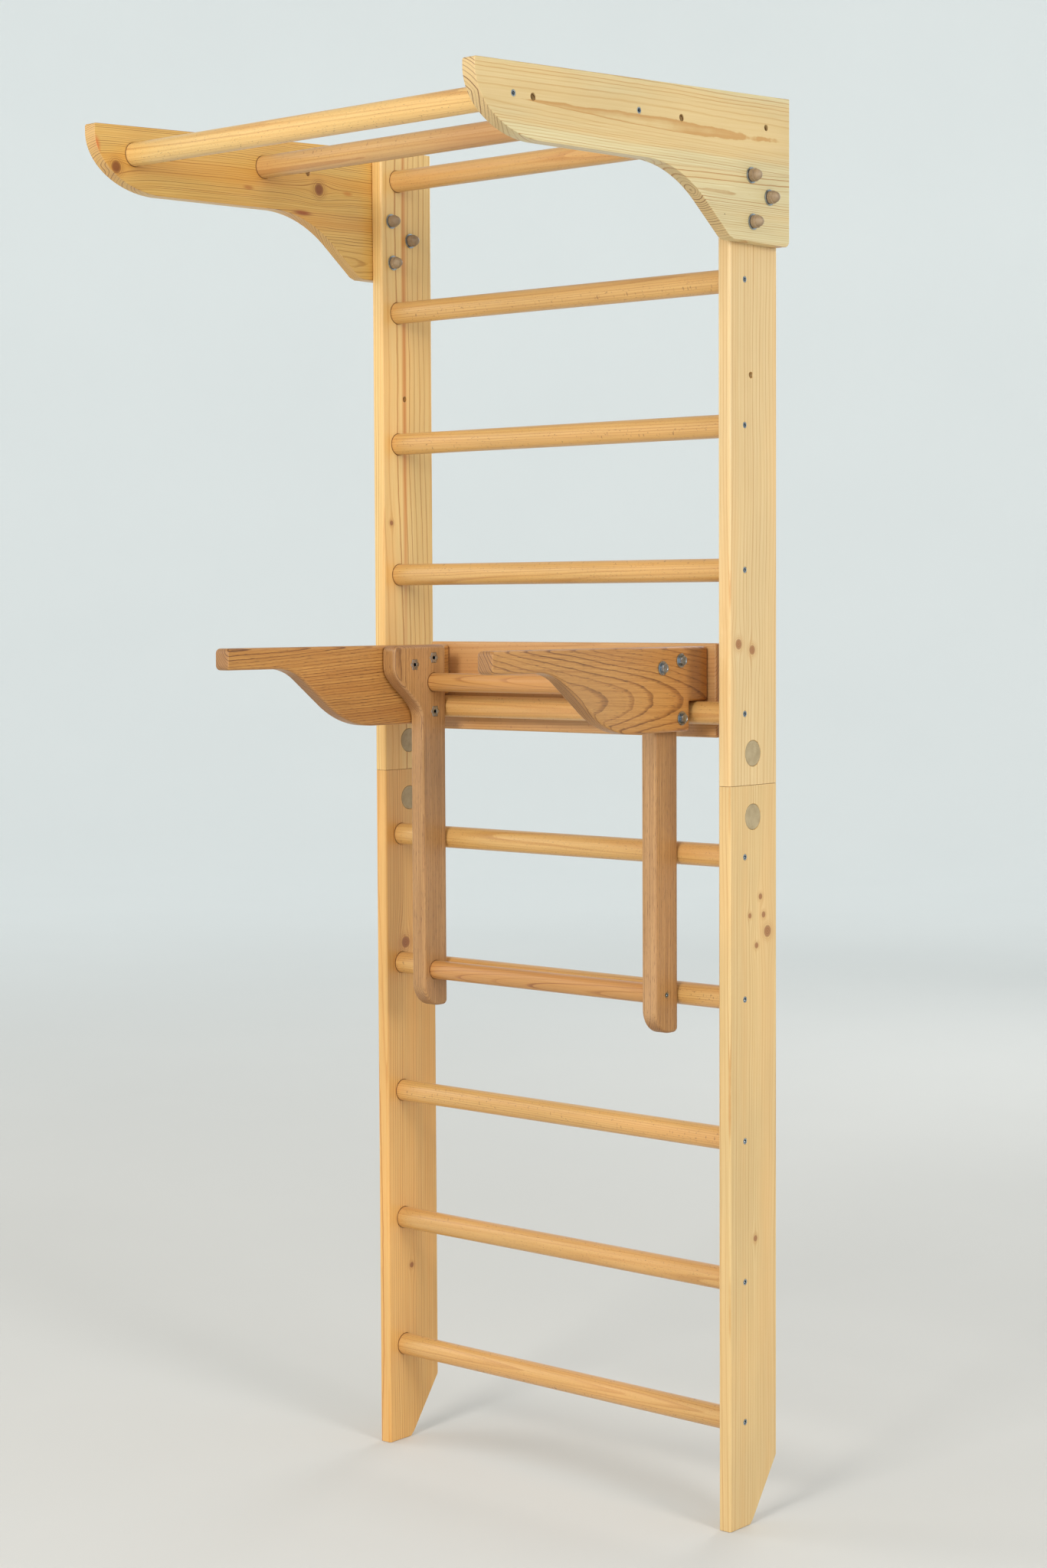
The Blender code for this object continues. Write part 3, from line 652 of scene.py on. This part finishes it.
# -------- posts
def make_post(level, word, side, material):
    """One length of a post with its sockets, countersinks and holes, and the shaped foot."""
    node = f"{level}_post_{word}"
    low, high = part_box(node)
    post = prism(node + "_look", rounded_rectangle(low.xy, high.xy, POST_ROUND), "z", low.z, high.z)
    if level == "lower":
        foot = [(FRONT_Y + FOOT_FLAT, low.z), (FRONT_Y + FOOT_FLAT + FOOT_HEEL, FOOT_HEEL),
                (WALL_Y, FOOT_TAPER_TOP), (WALL_Y + OVERCUT, FOOT_TAPER_TOP + 2 * OVERCUT),
                (WALL_Y + OVERCUT, -OVERCUT), (FRONT_Y + FOOT_FLAT - OVERCUT, -OVERCUT)]
        cut(post, prism("foot_cutter", foot, "x", low.x - OVERCUT, high.x + OVERCUT))
    ease(post, 0.0008, 2)
    bores = []
    for rung in RUNGS:
        at = middle(rung)
        if low.z < at.z < high.z:
            bores.append(bar_socket(rung, POST_INNER_X, SOCKET_DEPTH, side))
            bores.append(screw_hole(at, POST_OUTER_X, side))
    cap = middle(f"post_cap_{level}_outer_{word}")
    bores.append(bore(cap.y, cap.z, through(ACCESS_RADIUS, POST_INNER_X, POST_OUTER_X), side, FINE))
    if level == "upper":
        y, z, radius = POST_HOLE
        bores.append(bore(FRONT_Y + y, z, through(radius, POST_INNER_X, POST_OUTER_X), side))
        bores += bolt_holes(bolt_places("bracket", word), POST_INNER_X, POST_OUTER_X, side)
    drill(post, bores)
    place(post, node, material, "pine_posts")


def make_posts():
    """Four lengths of pine, each with its own figure and knots on the side that the camera sees."""
    inner, front = POST_INNER_X, FRONT_Y
    figures = {
        ("upper", "left"): (PINE, (0.30, front - 0.16, 1.6), [(0.019, 1.529, 0.0035)]),
        ("upper", "right"): (PALE_PINE, (-0.05, front + 0.33, 1.6), [
            (0.022, 1.334, 0.0065), (0.056, 1.325, 0.0060)]),
        ("lower", "left"): (ORANGE_PINE, (-0.42, front + 0.24, 0.6), [
            (0.046, 0.835, 0.0080), (0.055, 0.290, 0.0040)]),
        ("lower", "right"): (FADED_PINE, (0.10, front + 0.30, 0.6), [
            (0.077, 0.954, 0.0040), (0.050, 0.927, 0.0035), (0.085, 0.926, 0.0040),
            (0.095, 0.900, 0.0075), (0.067, 0.881, 0.0040), (0.064, 0.436, 0.0040)]),
    }
    for i, ((level, word), (kind, pith, marks)) in enumerate(figures.items()):
        face = POST_OUTER_X if word == "right" else -inner
        knots = [((face, front + y, z), (1, 0, 0), radius) for y, z, radius in marks]
        stripes = []
        if (level, word) == ("upper", "left"):
            stripes = [((-inner, front + 0.052, 1.80), (0.030, 0.0075, 0.75), rgb(208, 132, 56), 0.8)]
        material = wood(f"pine_{level}_{word}", kind, (0, 0, 1), pith, 1.0 + i, knots, stripes)
        make_post(level, word, dict(SIDES)[word], material)


def make_screw(name, at, side, body="wall_bars"):
    """A countersunk screw with a hexagon socket, its head just below the face. at is on the face."""
    sunk = 0.0003
    head = SCREW_HEAD_RADIUS
    shank = SCREW_SHANK_RADIUS - GAP
    stations = [(-SCREW_LENGTH, shank), (-sunk - (head - SCREW_SHANK_RADIUS), shank),
                (-sunk - 0.0004, head - 0.0002), (-sunk, head - 0.0003),
                (-sunk, lambda a: hexagon(SCREW_HEX + 0.0004, a)),
                (-sunk - 0.0003, lambda a: hexagon(SCREW_HEX, a)),
                (-sunk - 0.0030, lambda a: hexagon(SCREW_HEX, a))]
    screw = turned(name, stations)
    face_out(screw, at, side)
    place(screw, None, ZINC, "zinc_fasteners", body)
    faces = list(screw.data.polygons)
    # The socket's walls and floor get the painted recess shade.
    paint_recess_shade(screw, faces[-MEDIUM - 2:-2] + faces[-1:])
    return screw


def end_screws(node, at, face_x):
    """Screws into both ends of a bar, through the boards whose outer faces are at face_x."""
    for word, side in SIDES:
        make_screw(f"{node}_screw_{word}", Vector((side * face_x, at.y, at.z)), side)


def round_bar(node):
    """A turned bar across the object with a small chamfer at both ends."""
    at = middle(node)
    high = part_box(node)[1]
    radius, half, chamfer = high.z - at.z, high.x, 0.001
    bar = turned(node + "_look", [(-half, radius - chamfer), (chamfer - half, radius),
                                  (half - chamfer, radius), (half, radius - chamfer)], FINE)
    bar.data.transform(Matrix.Translation((0, at.y, at.z)))
    return bar


def make_rungs():
    """Ten turned beech rungs, each with a screw through the post into either end."""
    for i, rung in enumerate(RUNGS):
        at = middle(rung)
        bar = round_bar(rung)
        angle = 2.4 * i
        pith = (0, at.y + 0.045 * cos(angle), at.z + 0.045 * sin(angle))
        material = wood(f"beech_{rung}", BEECH, (1, 0, 0), pith, 10.0 + i, socket_shade_at=POST_INNER_X)
        place(bar, rung, material, "beech_bars")
        end_screws(rung, at, POST_OUTER_X)


# -------- post joints
def nut_profile(face, flats, height):
    """Stations of a hexagon nut with chamfered corners, from the face outwards."""
    full = flats / 2 / cos(radians(30))
    chamfer = (full - flats / 2) * 0.6

    def section(limit):
        return lambda angle: min(hexagon(flats, angle), limit)

    return [(face, section(flats / 2)), (face + chamfer * 0.6, section(full)),
            (face + (height - chamfer * 0.6), section(full)),
            (face + (height - chamfer * 0.25), section((full + flats / 2) / 2)),
            (face + height, section(flats / 2))]


def make_post_joints():
    """The rods inside the posts, with washers and nuts, and the flush caps over the access holes."""
    for word, side in SIDES:
        node = "post_joint_rod_" + word
        at = middle(node)
        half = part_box(node)[1].z - at.z
        rod, washer, washer_from, nut_from, nut_height = ROD_RADIUS, 0.0080, 0.0310, 0.0330, 0.007
        outward = [(washer_from, rod), (washer_from, washer), (nut_from, washer)]
        outward += nut_profile(nut_from, NUT_FLATS, nut_height)
        outward += [(nut_from + nut_height, rod), (half - 0.001, rod), (half, rod - 0.001)]
        joint = turned(node + "_look", both_ways(outward))
        joint.data.transform(Matrix.Translation(at) @ Matrix.Rotation(radians(-90), 4, "Y"))
        place(joint, node, ZINC, "zinc_fasteners")
        for level in ("lower", "upper"):
            for face in ("inner", "outer"):
                make_post_cap(f"post_cap_{level}_{face}_{word}", side if face == "outer" else -side)


def make_post_cap(node, out):
    """A flush disc with an eased rim, a faint moulded dish and a gripping collar with ribs."""
    low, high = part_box(node)
    at = middle(node)
    radius = high.z - at.z
    face = high.x if out > 0 else low.x

    def ribbed(angle):
        return 0.0180 + 0.00025 * cos(24 * angle)

    stations = [(-0.0012, 0.0165), (-0.0036, 0.0165), (-0.0036, ribbed), (-0.0014, ribbed),
                (-0.0012, radius - 0.0002), (-0.0007, radius), (-0.0003, radius - 0.0003),
                (0.0, radius - 0.0010), (0.0, radius - 0.0035), (-0.0002, radius - 0.0050),
                (-0.0003, 0.0002)]
    cap = turned(node + "_look", stations, 96)
    face_out(cap, (face, at.y, at.z), out)
    place(cap, node, PLUG_PLASTIC, "plug_plastic")


# -------- pull-up section
def bracket_outline():
    """Side view of a bracket, from its top rear corner round the nose to its bottom rear corner."""
    tip, wall = BRACKET_LOW.y, BRACKET_HIGH.y
    top, bottom = BRACKET_HIGH.z, BRACKET_LOW.z
    nose = (0.130, 0.082)
    nose_ease, heel_round, foot_ease = 0.004, 0.010, 0.006
    beam_bottom_front, beam_bottom_back = 2.010, 2.0165
    cove_radius, cove_from, cove_angle = 0.212, FRONT_Y - 0.217, 38.7
    foot = Vector((FRONT_Y - 0.025, bottom))
    low = radians(90 - cove_angle)
    cove_end = Vector((cove_from + cove_radius * cos(low),
                       beam_bottom_back - cove_radius + cove_radius * sin(low)))
    points = [(wall, top)]
    points += corner((tip + nose_ease, top - BRACKET_TOP_FALL - nose_ease), nose_ease, 90, 180, 4)
    points += arc((tip + nose[0], beam_bottom_front + nose[1]), nose, 180, 270, 28)
    points += arc((cove_from, beam_bottom_back - cove_radius), (cove_radius, cove_radius),
                  90, 90 - cove_angle, 24)
    points += [tuple(foot + (cove_end - foot).normalized() * foot_ease)]
    points += [(foot.x + foot_ease, bottom)]
    points += corner((wall - heel_round, bottom + heel_round), heel_round, -90, 0)
    return points


def make_brackets():
    """Two shaped pine boards with drilled holes, on the outer faces of the posts."""
    inner, outer = BRACKET_LOW.x, BRACKET_HIGH.x
    grain = (0, BRACKET_HIGH.y - BRACKET_LOW.y, BRACKET_TOP_FALL)
    for word, side in SIDES:
        node = "pullup_bracket_" + word
        bracket = side_board(node, bracket_outline(), inner, outer, side)
        ease(bracket, 0.0012, 3)
        bores = []
        for bar in ("pullup_bar_front", "pullup_bar_middle"):
            bores.append(bar_socket(bar, inner, SOCKET_DEPTH, side))
            bores.append(screw_hole(middle(bar), outer, side))
        for y, z, radius in BRACKET_HOLES:
            bores.append(bore(FRONT_Y + y, z, through(radius, inner, outer), side))
        bores += bolt_holes(bolt_places("bracket", word), inner, outer, side)
        drill(bracket, bores)
        figure = golden_bracket(inner, outer) if side < 0 else pale_bracket(outer)
        material = wood("pine_bracket_" + word, grain=grain, **figure)
        place(bracket, node, material, "pine_brackets")


def pale_bracket(outer):
    """The right bracket: a panel of two boards, its lower board cut round the pith."""
    return {
        "kind": GREEN_PINE, "seed": 31.0,
        "pith": (outer - 0.040, 0.0, BRACKET_HIGH.z - 0.082), "dense": ((0.0, 0.0, -1.0), 0.8),
        "lower_board": (2.010, (outer - 0.011, FRONT_Y - 0.068, 1.986)),
        "patches": [((outer, FRONT_Y - 0.042, 1.957), (0.004, 0.0020, 0.0014), rgb(70, 44, 26), 0.9)],
    }


def golden_bracket(inner, outer):
    """The left bracket: one board with a ringed knot in its nose and a few resin streaks."""
    knots = ((-0.544, 2.044, 0.0075), (-0.120, 2.058, 0.0080))
    streaks = ((-0.158, 2.017, 0.030, 0.006, rgb(158, 78, 28), 0.95),
               (-0.583, 2.068, 0.012, 0.024, rgb(206, 104, 32), 0.95),
               (-0.540, 2.012, 0.060, 0.010, rgb(158, 82, 34), 0.9),
               (-0.275, 2.044, 0.016, 0.005, rgb(176, 104, 38), 0.7),
               (-0.055, 2.058, 0.016, 0.005, rgb(190, 112, 40), 0.6))
    return {
        "kind": GOLDEN_PINE, "seed": 29.0,
        "pith": (0.05 - outer, 0.0, BRACKET_HIGH.z - 0.20),
        "knots": [((-inner, FRONT_Y + y, z), (1, 0, 0), radius) for y, z, radius in knots],
        "patches": [((-inner, FRONT_Y + y, z), (0.020, long, high), colour, share)
                    for y, z, long, high, colour, share in streaks],
    }


def make_pullup_bars():
    """Two beech bars between the brackets. The middle one has a darker patch."""
    for i, word in enumerate(("front", "middle")):
        node = "pullup_bar_" + word
        at = middle(node)
        bar = round_bar(node)
        pith = (0, at.y + 0.035 * (1 - 2 * i), at.z - 0.03)
        patches = [((0.10, at.y, at.z), (0.16, 0.05, 0.05), rgb(178, 122, 74), 0.5)] if i else []
        material = wood("beech_" + node, BROWN_BEECH if i else PALE_BEECH, (1, 0, 0), pith, 41.0 + i,
                        patches=patches, socket_shade_at=BRACKET_LOW.x)
        place(bar, node, material, "beech_bars")
        end_screws(node, at, BRACKET_HIGH.x)


def make_bracket_bolts():
    """Threaded rods with washers and nuts at both ends, each nut under a domed cover."""
    rod, washer, thickness, nut_height = ROD_RADIUS, 0.0118, WASHER_THICKNESS, 0.0065
    round_edge = 0.0003
    for word, side in SIDES:
        for i in range(3):
            node = f"bracket_bolt_{word}_{i + 1}"
            at = middle(node)
            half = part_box(node)[1].x - at.x
            face = (BRACKET_HIGH.x - POST_INNER_X) / 2 + GAP
            outward = [(face, rod), (face, washer - round_edge), (face + round_edge, washer),
                       (face + thickness - round_edge, washer), (face + thickness, washer - round_edge)]
            outward += nut_profile(face + thickness, NUT_FLATS, nut_height)
            outward += [(face + thickness + nut_height, rod), (half - 0.0005, rod), (half, rod - 0.0005)]
            bolt = turned(node + "_look", both_ways(outward))
            bolt.data.transform(Matrix.Translation(at))
            place(bolt, node, ZINC, "zinc_fasteners")
            for position, out in (("inner", -side), ("outer", side)):
                make_bolt_cap(f"bolt_cap_{position}_{word}_{i + 1}", out)


def make_bolt_cap(node, out):
    """A domed cover: a short cylinder with a rounded shoulder and a narrower dome."""
    low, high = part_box(node)
    at = middle(node)
    base = low.x if out > 0 else high.x
    height = high.x - low.x
    outer, inner, neck, shoulder, ceiling = 0.0096, 0.0080, 0.0083, 0.0070, 0.0115
    soft = 0.0006
    stations = [(ceiling, 0.0002), (ceiling, 0.0055), (shoulder, inner), (0.0, inner),
                (0.0, outer - soft / 2), (soft / 2, outer)]
    stations += arc((shoulder - soft, outer - soft), (soft, soft), 90, 0, 3)
    stations += [(shoulder, neck + 0.0002), (shoulder + 0.0002, neck)]
    for i in range(1, 12):
        angle = radians(90 * i / 12)
        stations.append((shoulder + (height - shoulder) * sin(angle), neck * cos(angle)))
    stations.append((height, 0.0002))
    cover = turned(node + "_look", stations)
    face_out(cover, (base, at.y, at.z), out)
    place(cover, node, CAP_PLASTIC, "cap_plastic")


# -------- dip station
def arm_outline():
    """Side view of a dip arm: a straight handle, an S-curved underside and a notch over the rung."""
    tip, rear = ARM_LOW.y, ARM_HIGH.y
    top, bottom = ARM_HIGH.z, ARM_LOW.z
    cove, belly, slope = 0.090, 0.170, 37.0
    s, c = sin(radians(slope)), cos(radians(slope))
    drop = ARM_HANDLE_BOTTOM - bottom
    straight = (drop - (cove + belly) * (1 - c)) / s
    handle_end = FRONT_Y - 0.330
    belly_end = handle_end + cove * s + straight * c + belly * s
    notch = FRONT_Y + NOTCH_FRONT
    notch_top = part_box("rung_05")[1].z + GAP
    r, tip_round = 0.006, 0.0075
    points = corner((rear - r, top - r), r, 0, 90)
    points += corner((tip + tip_round, top - tip_round), tip_round, 90, 180)
    points += corner((tip + tip_round, ARM_HANDLE_BOTTOM + tip_round), tip_round, 180, 270)
    points += arc((handle_end, ARM_HANDLE_BOTTOM - cove), (cove, cove), 90, 90 - slope, 16)
    points += arc((belly_end, bottom + belly), (belly, belly), 270 - slope, 270, 20)
    points += corner((notch - r, bottom + r), r, 270, 360)
    points += [(notch, notch_top)]
    points += corner((rear - r, notch_top + r), r, 270, 360)
    return points


def strut_outline():
    """Side view of a strut: a head that flares forward under the arm, and a foot with a round toe."""
    front, neck, back = STRUT_LOW.y, FRONT_Y - 0.036, STRUT_HIGH.y
    top, bottom = STRUT_HIGH.z, STRUT_LOW.z
    head_low, neck_z = 1.296, 1.212
    toe, heel = 0.038, 0.008
    points = corner((back - 0.006, top - 0.006), 0.006, 0, 90)
    points += corner((front + 0.010, top - 0.010), 0.010, 90, 180)
    steps = 24
    for i in range(steps + 1):
        t = i / steps
        swing = (1 - cos(pi * t)) / 2
        points.append((front + (neck - front) * swing, head_low + (neck_z - head_low) * t))
    points += corner((neck + toe, bottom + toe), toe, 180, 270, 14)
    points += corner((back - heel, bottom + heel), heel, 270, 360)
    return points


def flange_lobes(angle):
    """Edge of a pronged nut's flange, with six lobes."""
    deep = 0.0010
    return TEE_NUT_RADIUS - deep + deep * cos(6 * angle)


def recess_lobes(angle):
    """Edge of the recess that such a flange is pressed into."""
    return flange_lobes(angle) + GAP


def make_dip_sides():
    """Arms in honey-stained ash and struts in a greyer stain, bolted together."""
    inner, outer = ARM_LOW.x, ARM_HIGH.x
    strut_inner, strut_outer = STRUT_LOW.x, STRUT_HIGH.x
    for word, side in SIDES:
        arm = side_board("dip_arm_" + word, arm_outline(), inner, outer, side)
        ease(arm, 0.0050, 6)
        bolts = bolt_places("dip", word)
        drill(arm, bolt_holes(bolts, inner, outer, side))
        grey = (side * outer, ARM_LOW.y + 0.06, ARM_LOW.z + 0.04)
        patches = [(grey, (0.05, 0.30, 0.075), rgb(166, 128, 86), 0.35)] if side > 0 else ()
        pith = (side * (inner - 0.08), 0.0, ARM_HIGH.z + 0.055 - 0.13 * (side > 0))
        kind = dict(HONEY_ASH, taper=0.075) if side > 0 else HONEY_ASH
        material = wood("ash_arm_" + word, kind, (0, 1, -0.04 * side), pith, 50.0 + side,
                        patches=patches)
        place(arm, "dip_arm_" + word, material, "ash_stained", "dip_station")

        strut = side_board("dip_strut_" + word, strut_outline(), strut_inner, strut_outer, side)
        ease(strut, 0.0050, 5)
        recess = strut_inner + TEE_NUT_FLANGE + GAP
        stations = ((strut_inner - OVERCUT, recess_lobes), (recess, recess_lobes),
                    (recess, BOLT_BORE_RADIUS), (strut_outer + OVERCUT, BOLT_BORE_RADIUS))
        bores = [bore(at.y, at.z, stations, side) for at in bolts]
        for bar in ("dip_crossbar_upper", "dip_crossbar_lower"):
            bores.append(bar_socket(bar, strut_inner, CROSSBAR_SOCKET, side))
        screw_at = middle("dip_crossbar_lower")
        bores.append(screw_hole(screw_at, strut_outer, side, CROSSBAR_SCREW_HOLE))
        drill(strut, bores)
        pith = (side * (strut_inner - 0.06), FRONT_Y - 0.10, 1.0)
        material = wood("ash_strut_" + word, TAUPE_ASH, (0, 0.01, 1), pith, 60.0 + side)
        place(strut, "dip_strut_" + word, material, "ash_stained", "dip_station")
        face = Vector((side * strut_outer, screw_at.y, screw_at.z))
        make_screw(f"crossbar_screw_{word}", face, side, "dip_station")


def make_dip_crossbars():
    """Two thinner bars between the struts."""
    for i, word in enumerate(("upper", "lower")):
        node = "dip_crossbar_" + word
        at = middle(node)
        bar = round_bar(node)
        pith = (0, at.y + 0.034, at.z + 0.014 * (2 * i - 1))
        material = wood("ash_" + node, CROSSBAR, (1, 0, 0.004), pith, 71.0 + i, socket_shade_at=STRUT_LOW.x)
        place(bar, node, material, "beech_crossbars", "dip_station")


def make_dip_board():
    """The beech board across the back, screwed to the arms from behind."""
    low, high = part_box("dip_back_board")
    outline = rounded_rectangle(low.yz, high.yz, 0.004)
    board = prism("dip_back_board_look", outline, "x", low.x, high.x)
    ease(board, 0.0030, 4)
    pith = (0, low.y - 0.13, (low.z + high.z) / 2 + 0.12)
    material = wood("beech_back_board", BOARD, (1, 0, 0.003), pith, 80.0)
    place(board, "dip_back_board", material, "beech_board", "dip_station")
    for word, side in SIDES:
        for i, z in enumerate((low.z + 0.078, high.z - 0.022)):
            at = Vector((side * (ARM_LOW.x + ARM_HIGH.x) / 2, high.y, z))
            screw = make_screw(f"board_screw_{word}_{i + 1}", Vector((0, 0, 0)), 1, "dip_station")
            screw.data.transform(Matrix.Translation(at) @ Matrix.Rotation(radians(90), 4, "Z"))


def make_dip_bolts():
    """Hexagon-head bolts with washers outside, and pronged flanged nuts sunk in the struts inside."""
    shank, washer, head_height = ROD_RADIUS, 0.0105, 0.0050
    nut_hexagon, nut_mouth = 0.0056, 0.0062
    for word, side in SIDES:
        for i in range(3):
            node = f"dip_bolt_{word}_{i + 1}"
            at = middle(node)
            face = ARM_HIGH.x + GAP
            inner = STRUT_LOW.x
            head = face + WASHER_THICKNESS
            stations = [(inner + 0.0060, lambda a: hexagon(nut_hexagon, a)),
                        (inner + 0.0002, lambda a: hexagon(nut_hexagon, a)),
                        (inner - 0.0002, lambda a: hexagon(nut_mouth, a)),
                        (inner - 0.0002, lambda a: flange_lobes(a) - 0.0004),
                        (inner + 0.0002, flange_lobes), (inner + TEE_NUT_FLANGE, flange_lobes),
                        (inner + TEE_NUT_FLANGE, shank), (face, shank), (face, washer - 0.0003),
                        (face + 0.0003, washer), (head - 0.0003, washer), (head, washer - 0.0003)]
            stations += nut_profile(head, NUT_FLATS, head_height)
            dish = head + head_height - 0.0003
            stations += [(head + head_height, 0.0050), (dish, 0.0046), (dish, 0.0003)]
            bolt = turned(node + "_look", stations)
            bolt.data.transform(Matrix.Translation((0, at.y, at.z)))
            if side < 0:
                bolt.data.transform(Matrix.Scale(-1, 4, (1, 0, 0)))
                bolt.data.flip_normals()
            place(bolt, node, ZINC, "zinc_fasteners", "dip_station")
            faces = list(bolt.data.polygons)
            # The nut's hex bore, its walls and far end, gets the painted recess shade.
            paint_recess_shade(bolt, faces[:MEDIUM] + faces[-2:-1])


# -------- studio
def make_camera():
    """The viewer's place: right of the object, at chest height, looking slightly down."""
    azimuth, pitch, roll = (radians(a) for a in (40.159, 3.117, -0.247))
    forward = Vector((-sin(azimuth) * cos(pitch), cos(azimuth) * cos(pitch),
                      -sin(pitch)))
    right = Vector((cos(azimuth), sin(azimuth), 0))
    up = right.cross(forward)
    level = Matrix((right, up, -forward)).transposed()
    turn = (level @ Matrix.Rotation(roll, 3, "Z")).to_4x4()
    camera = bpy.data.objects.new("camera", bpy.data.cameras.new("camera"))
    camera.matrix_world = Matrix.Translation((2.774, FRONT_Y - 3.275, 1.392)) @ turn
    camera.data.lens = 63.08
    camera.data.shift_x = -0.01577
    camera.data.shift_y = -0.0182
    scene.collection.objects.link(camera)
    scene.camera = camera


def make_studio():
    """A pale floor that curves up far away, a pale sky and soft lights."""
    scene.view_settings.view_transform = "Standard"
    flat, bend, height, sides = 10.0, 4.0, 12.0, 96
    profile = [(0.02, 0.0), (2.0, 0.0), (6.0, 0.0)] + arc((flat, bend), (bend, bend), 270, 360, 16)
    profile.append((flat + bend, height))
    angles = [tau * i / sides for i in range(sides)]
    below = 0.0005
    bm = bmesh.new()
    rings = []
    for r, z in profile:
        rings.append([bm.verts.new((r * cos(a), r * sin(a), z - below)) for a in angles])
    skin(bm, rings, open_end=True)
    floor = add_object("studio_floor", bm)
    floor.data.shade_smooth()
    g = Graph("studio_paint")
    point = g.node("TexCoord", {}).outputs["Object"]
    mottle = g.noise(point, scale=1.2, detail=3.0)
    colour = g.mix(mottle, rgb(212, 211, 207), rgb(217, 216, 212))
    away = g.length(g.vector("MULTIPLY", point, (1.0, 1.0, 0.0)))
    g.put(g.shader.inputs["Emission Color"], rgb(220, 234, 240))
    g.put(g.shader.inputs["Emission Strength"], g.step(away, 1.5, 9.0, 0.0, 0.37))
    grit = g.bump(g.noise(point, scale=300.0), 0.05, 0.001)
    floor.data.materials.append(g.finish(colour, 0.9, grit))

    world = bpy.data.worlds.new("studio_sky")
    world.use_nodes = True
    background = world.node_tree.nodes["Background"]
    background.inputs["Color"].default_value = (1.0, 0.98, 0.95, 1.0)
    background.inputs["Strength"].default_value = 0.42
    scene.world = world

    target = Vector((0, 0, 1.1))
    lights = (("key", (0.6, -5.2, 3.4), 1.8, 165, (1.0, 0.97, 0.93)),
              ("side", (5.2, -0.6, 2.6), 1.8, 108, (1.0, 0.99, 0.98)),
              ("far", (-4.6, -1.6, 2.8), 2.6, 50, (1.0, 0.98, 0.96)),
              ("back", (-1.0, 5.0, 3.2), 2.6, 60, (0.96, 0.98, 1.0)))
    for name, at, size, watts, colour in lights:
        light = bpy.data.lights.new(name, "AREA")
        light.shape = "DISK"
        light.size = size
        light.energy = watts
        light.color = colour
        lamp = bpy.data.objects.new(name, light)
        lamp.location = at
        lamp.rotation_euler = (target - Vector(at)).to_track_quat("-Z", "Y").to_euler()
        scene.collection.objects.link(lamp)


make_camera()
make_posts()
make_rungs()
make_post_joints()
make_brackets()
make_pullup_bars()
make_bracket_bolts()
make_dip_sides()
make_dip_crossbars()
make_dip_board()
make_dip_bolts()
make_studio()
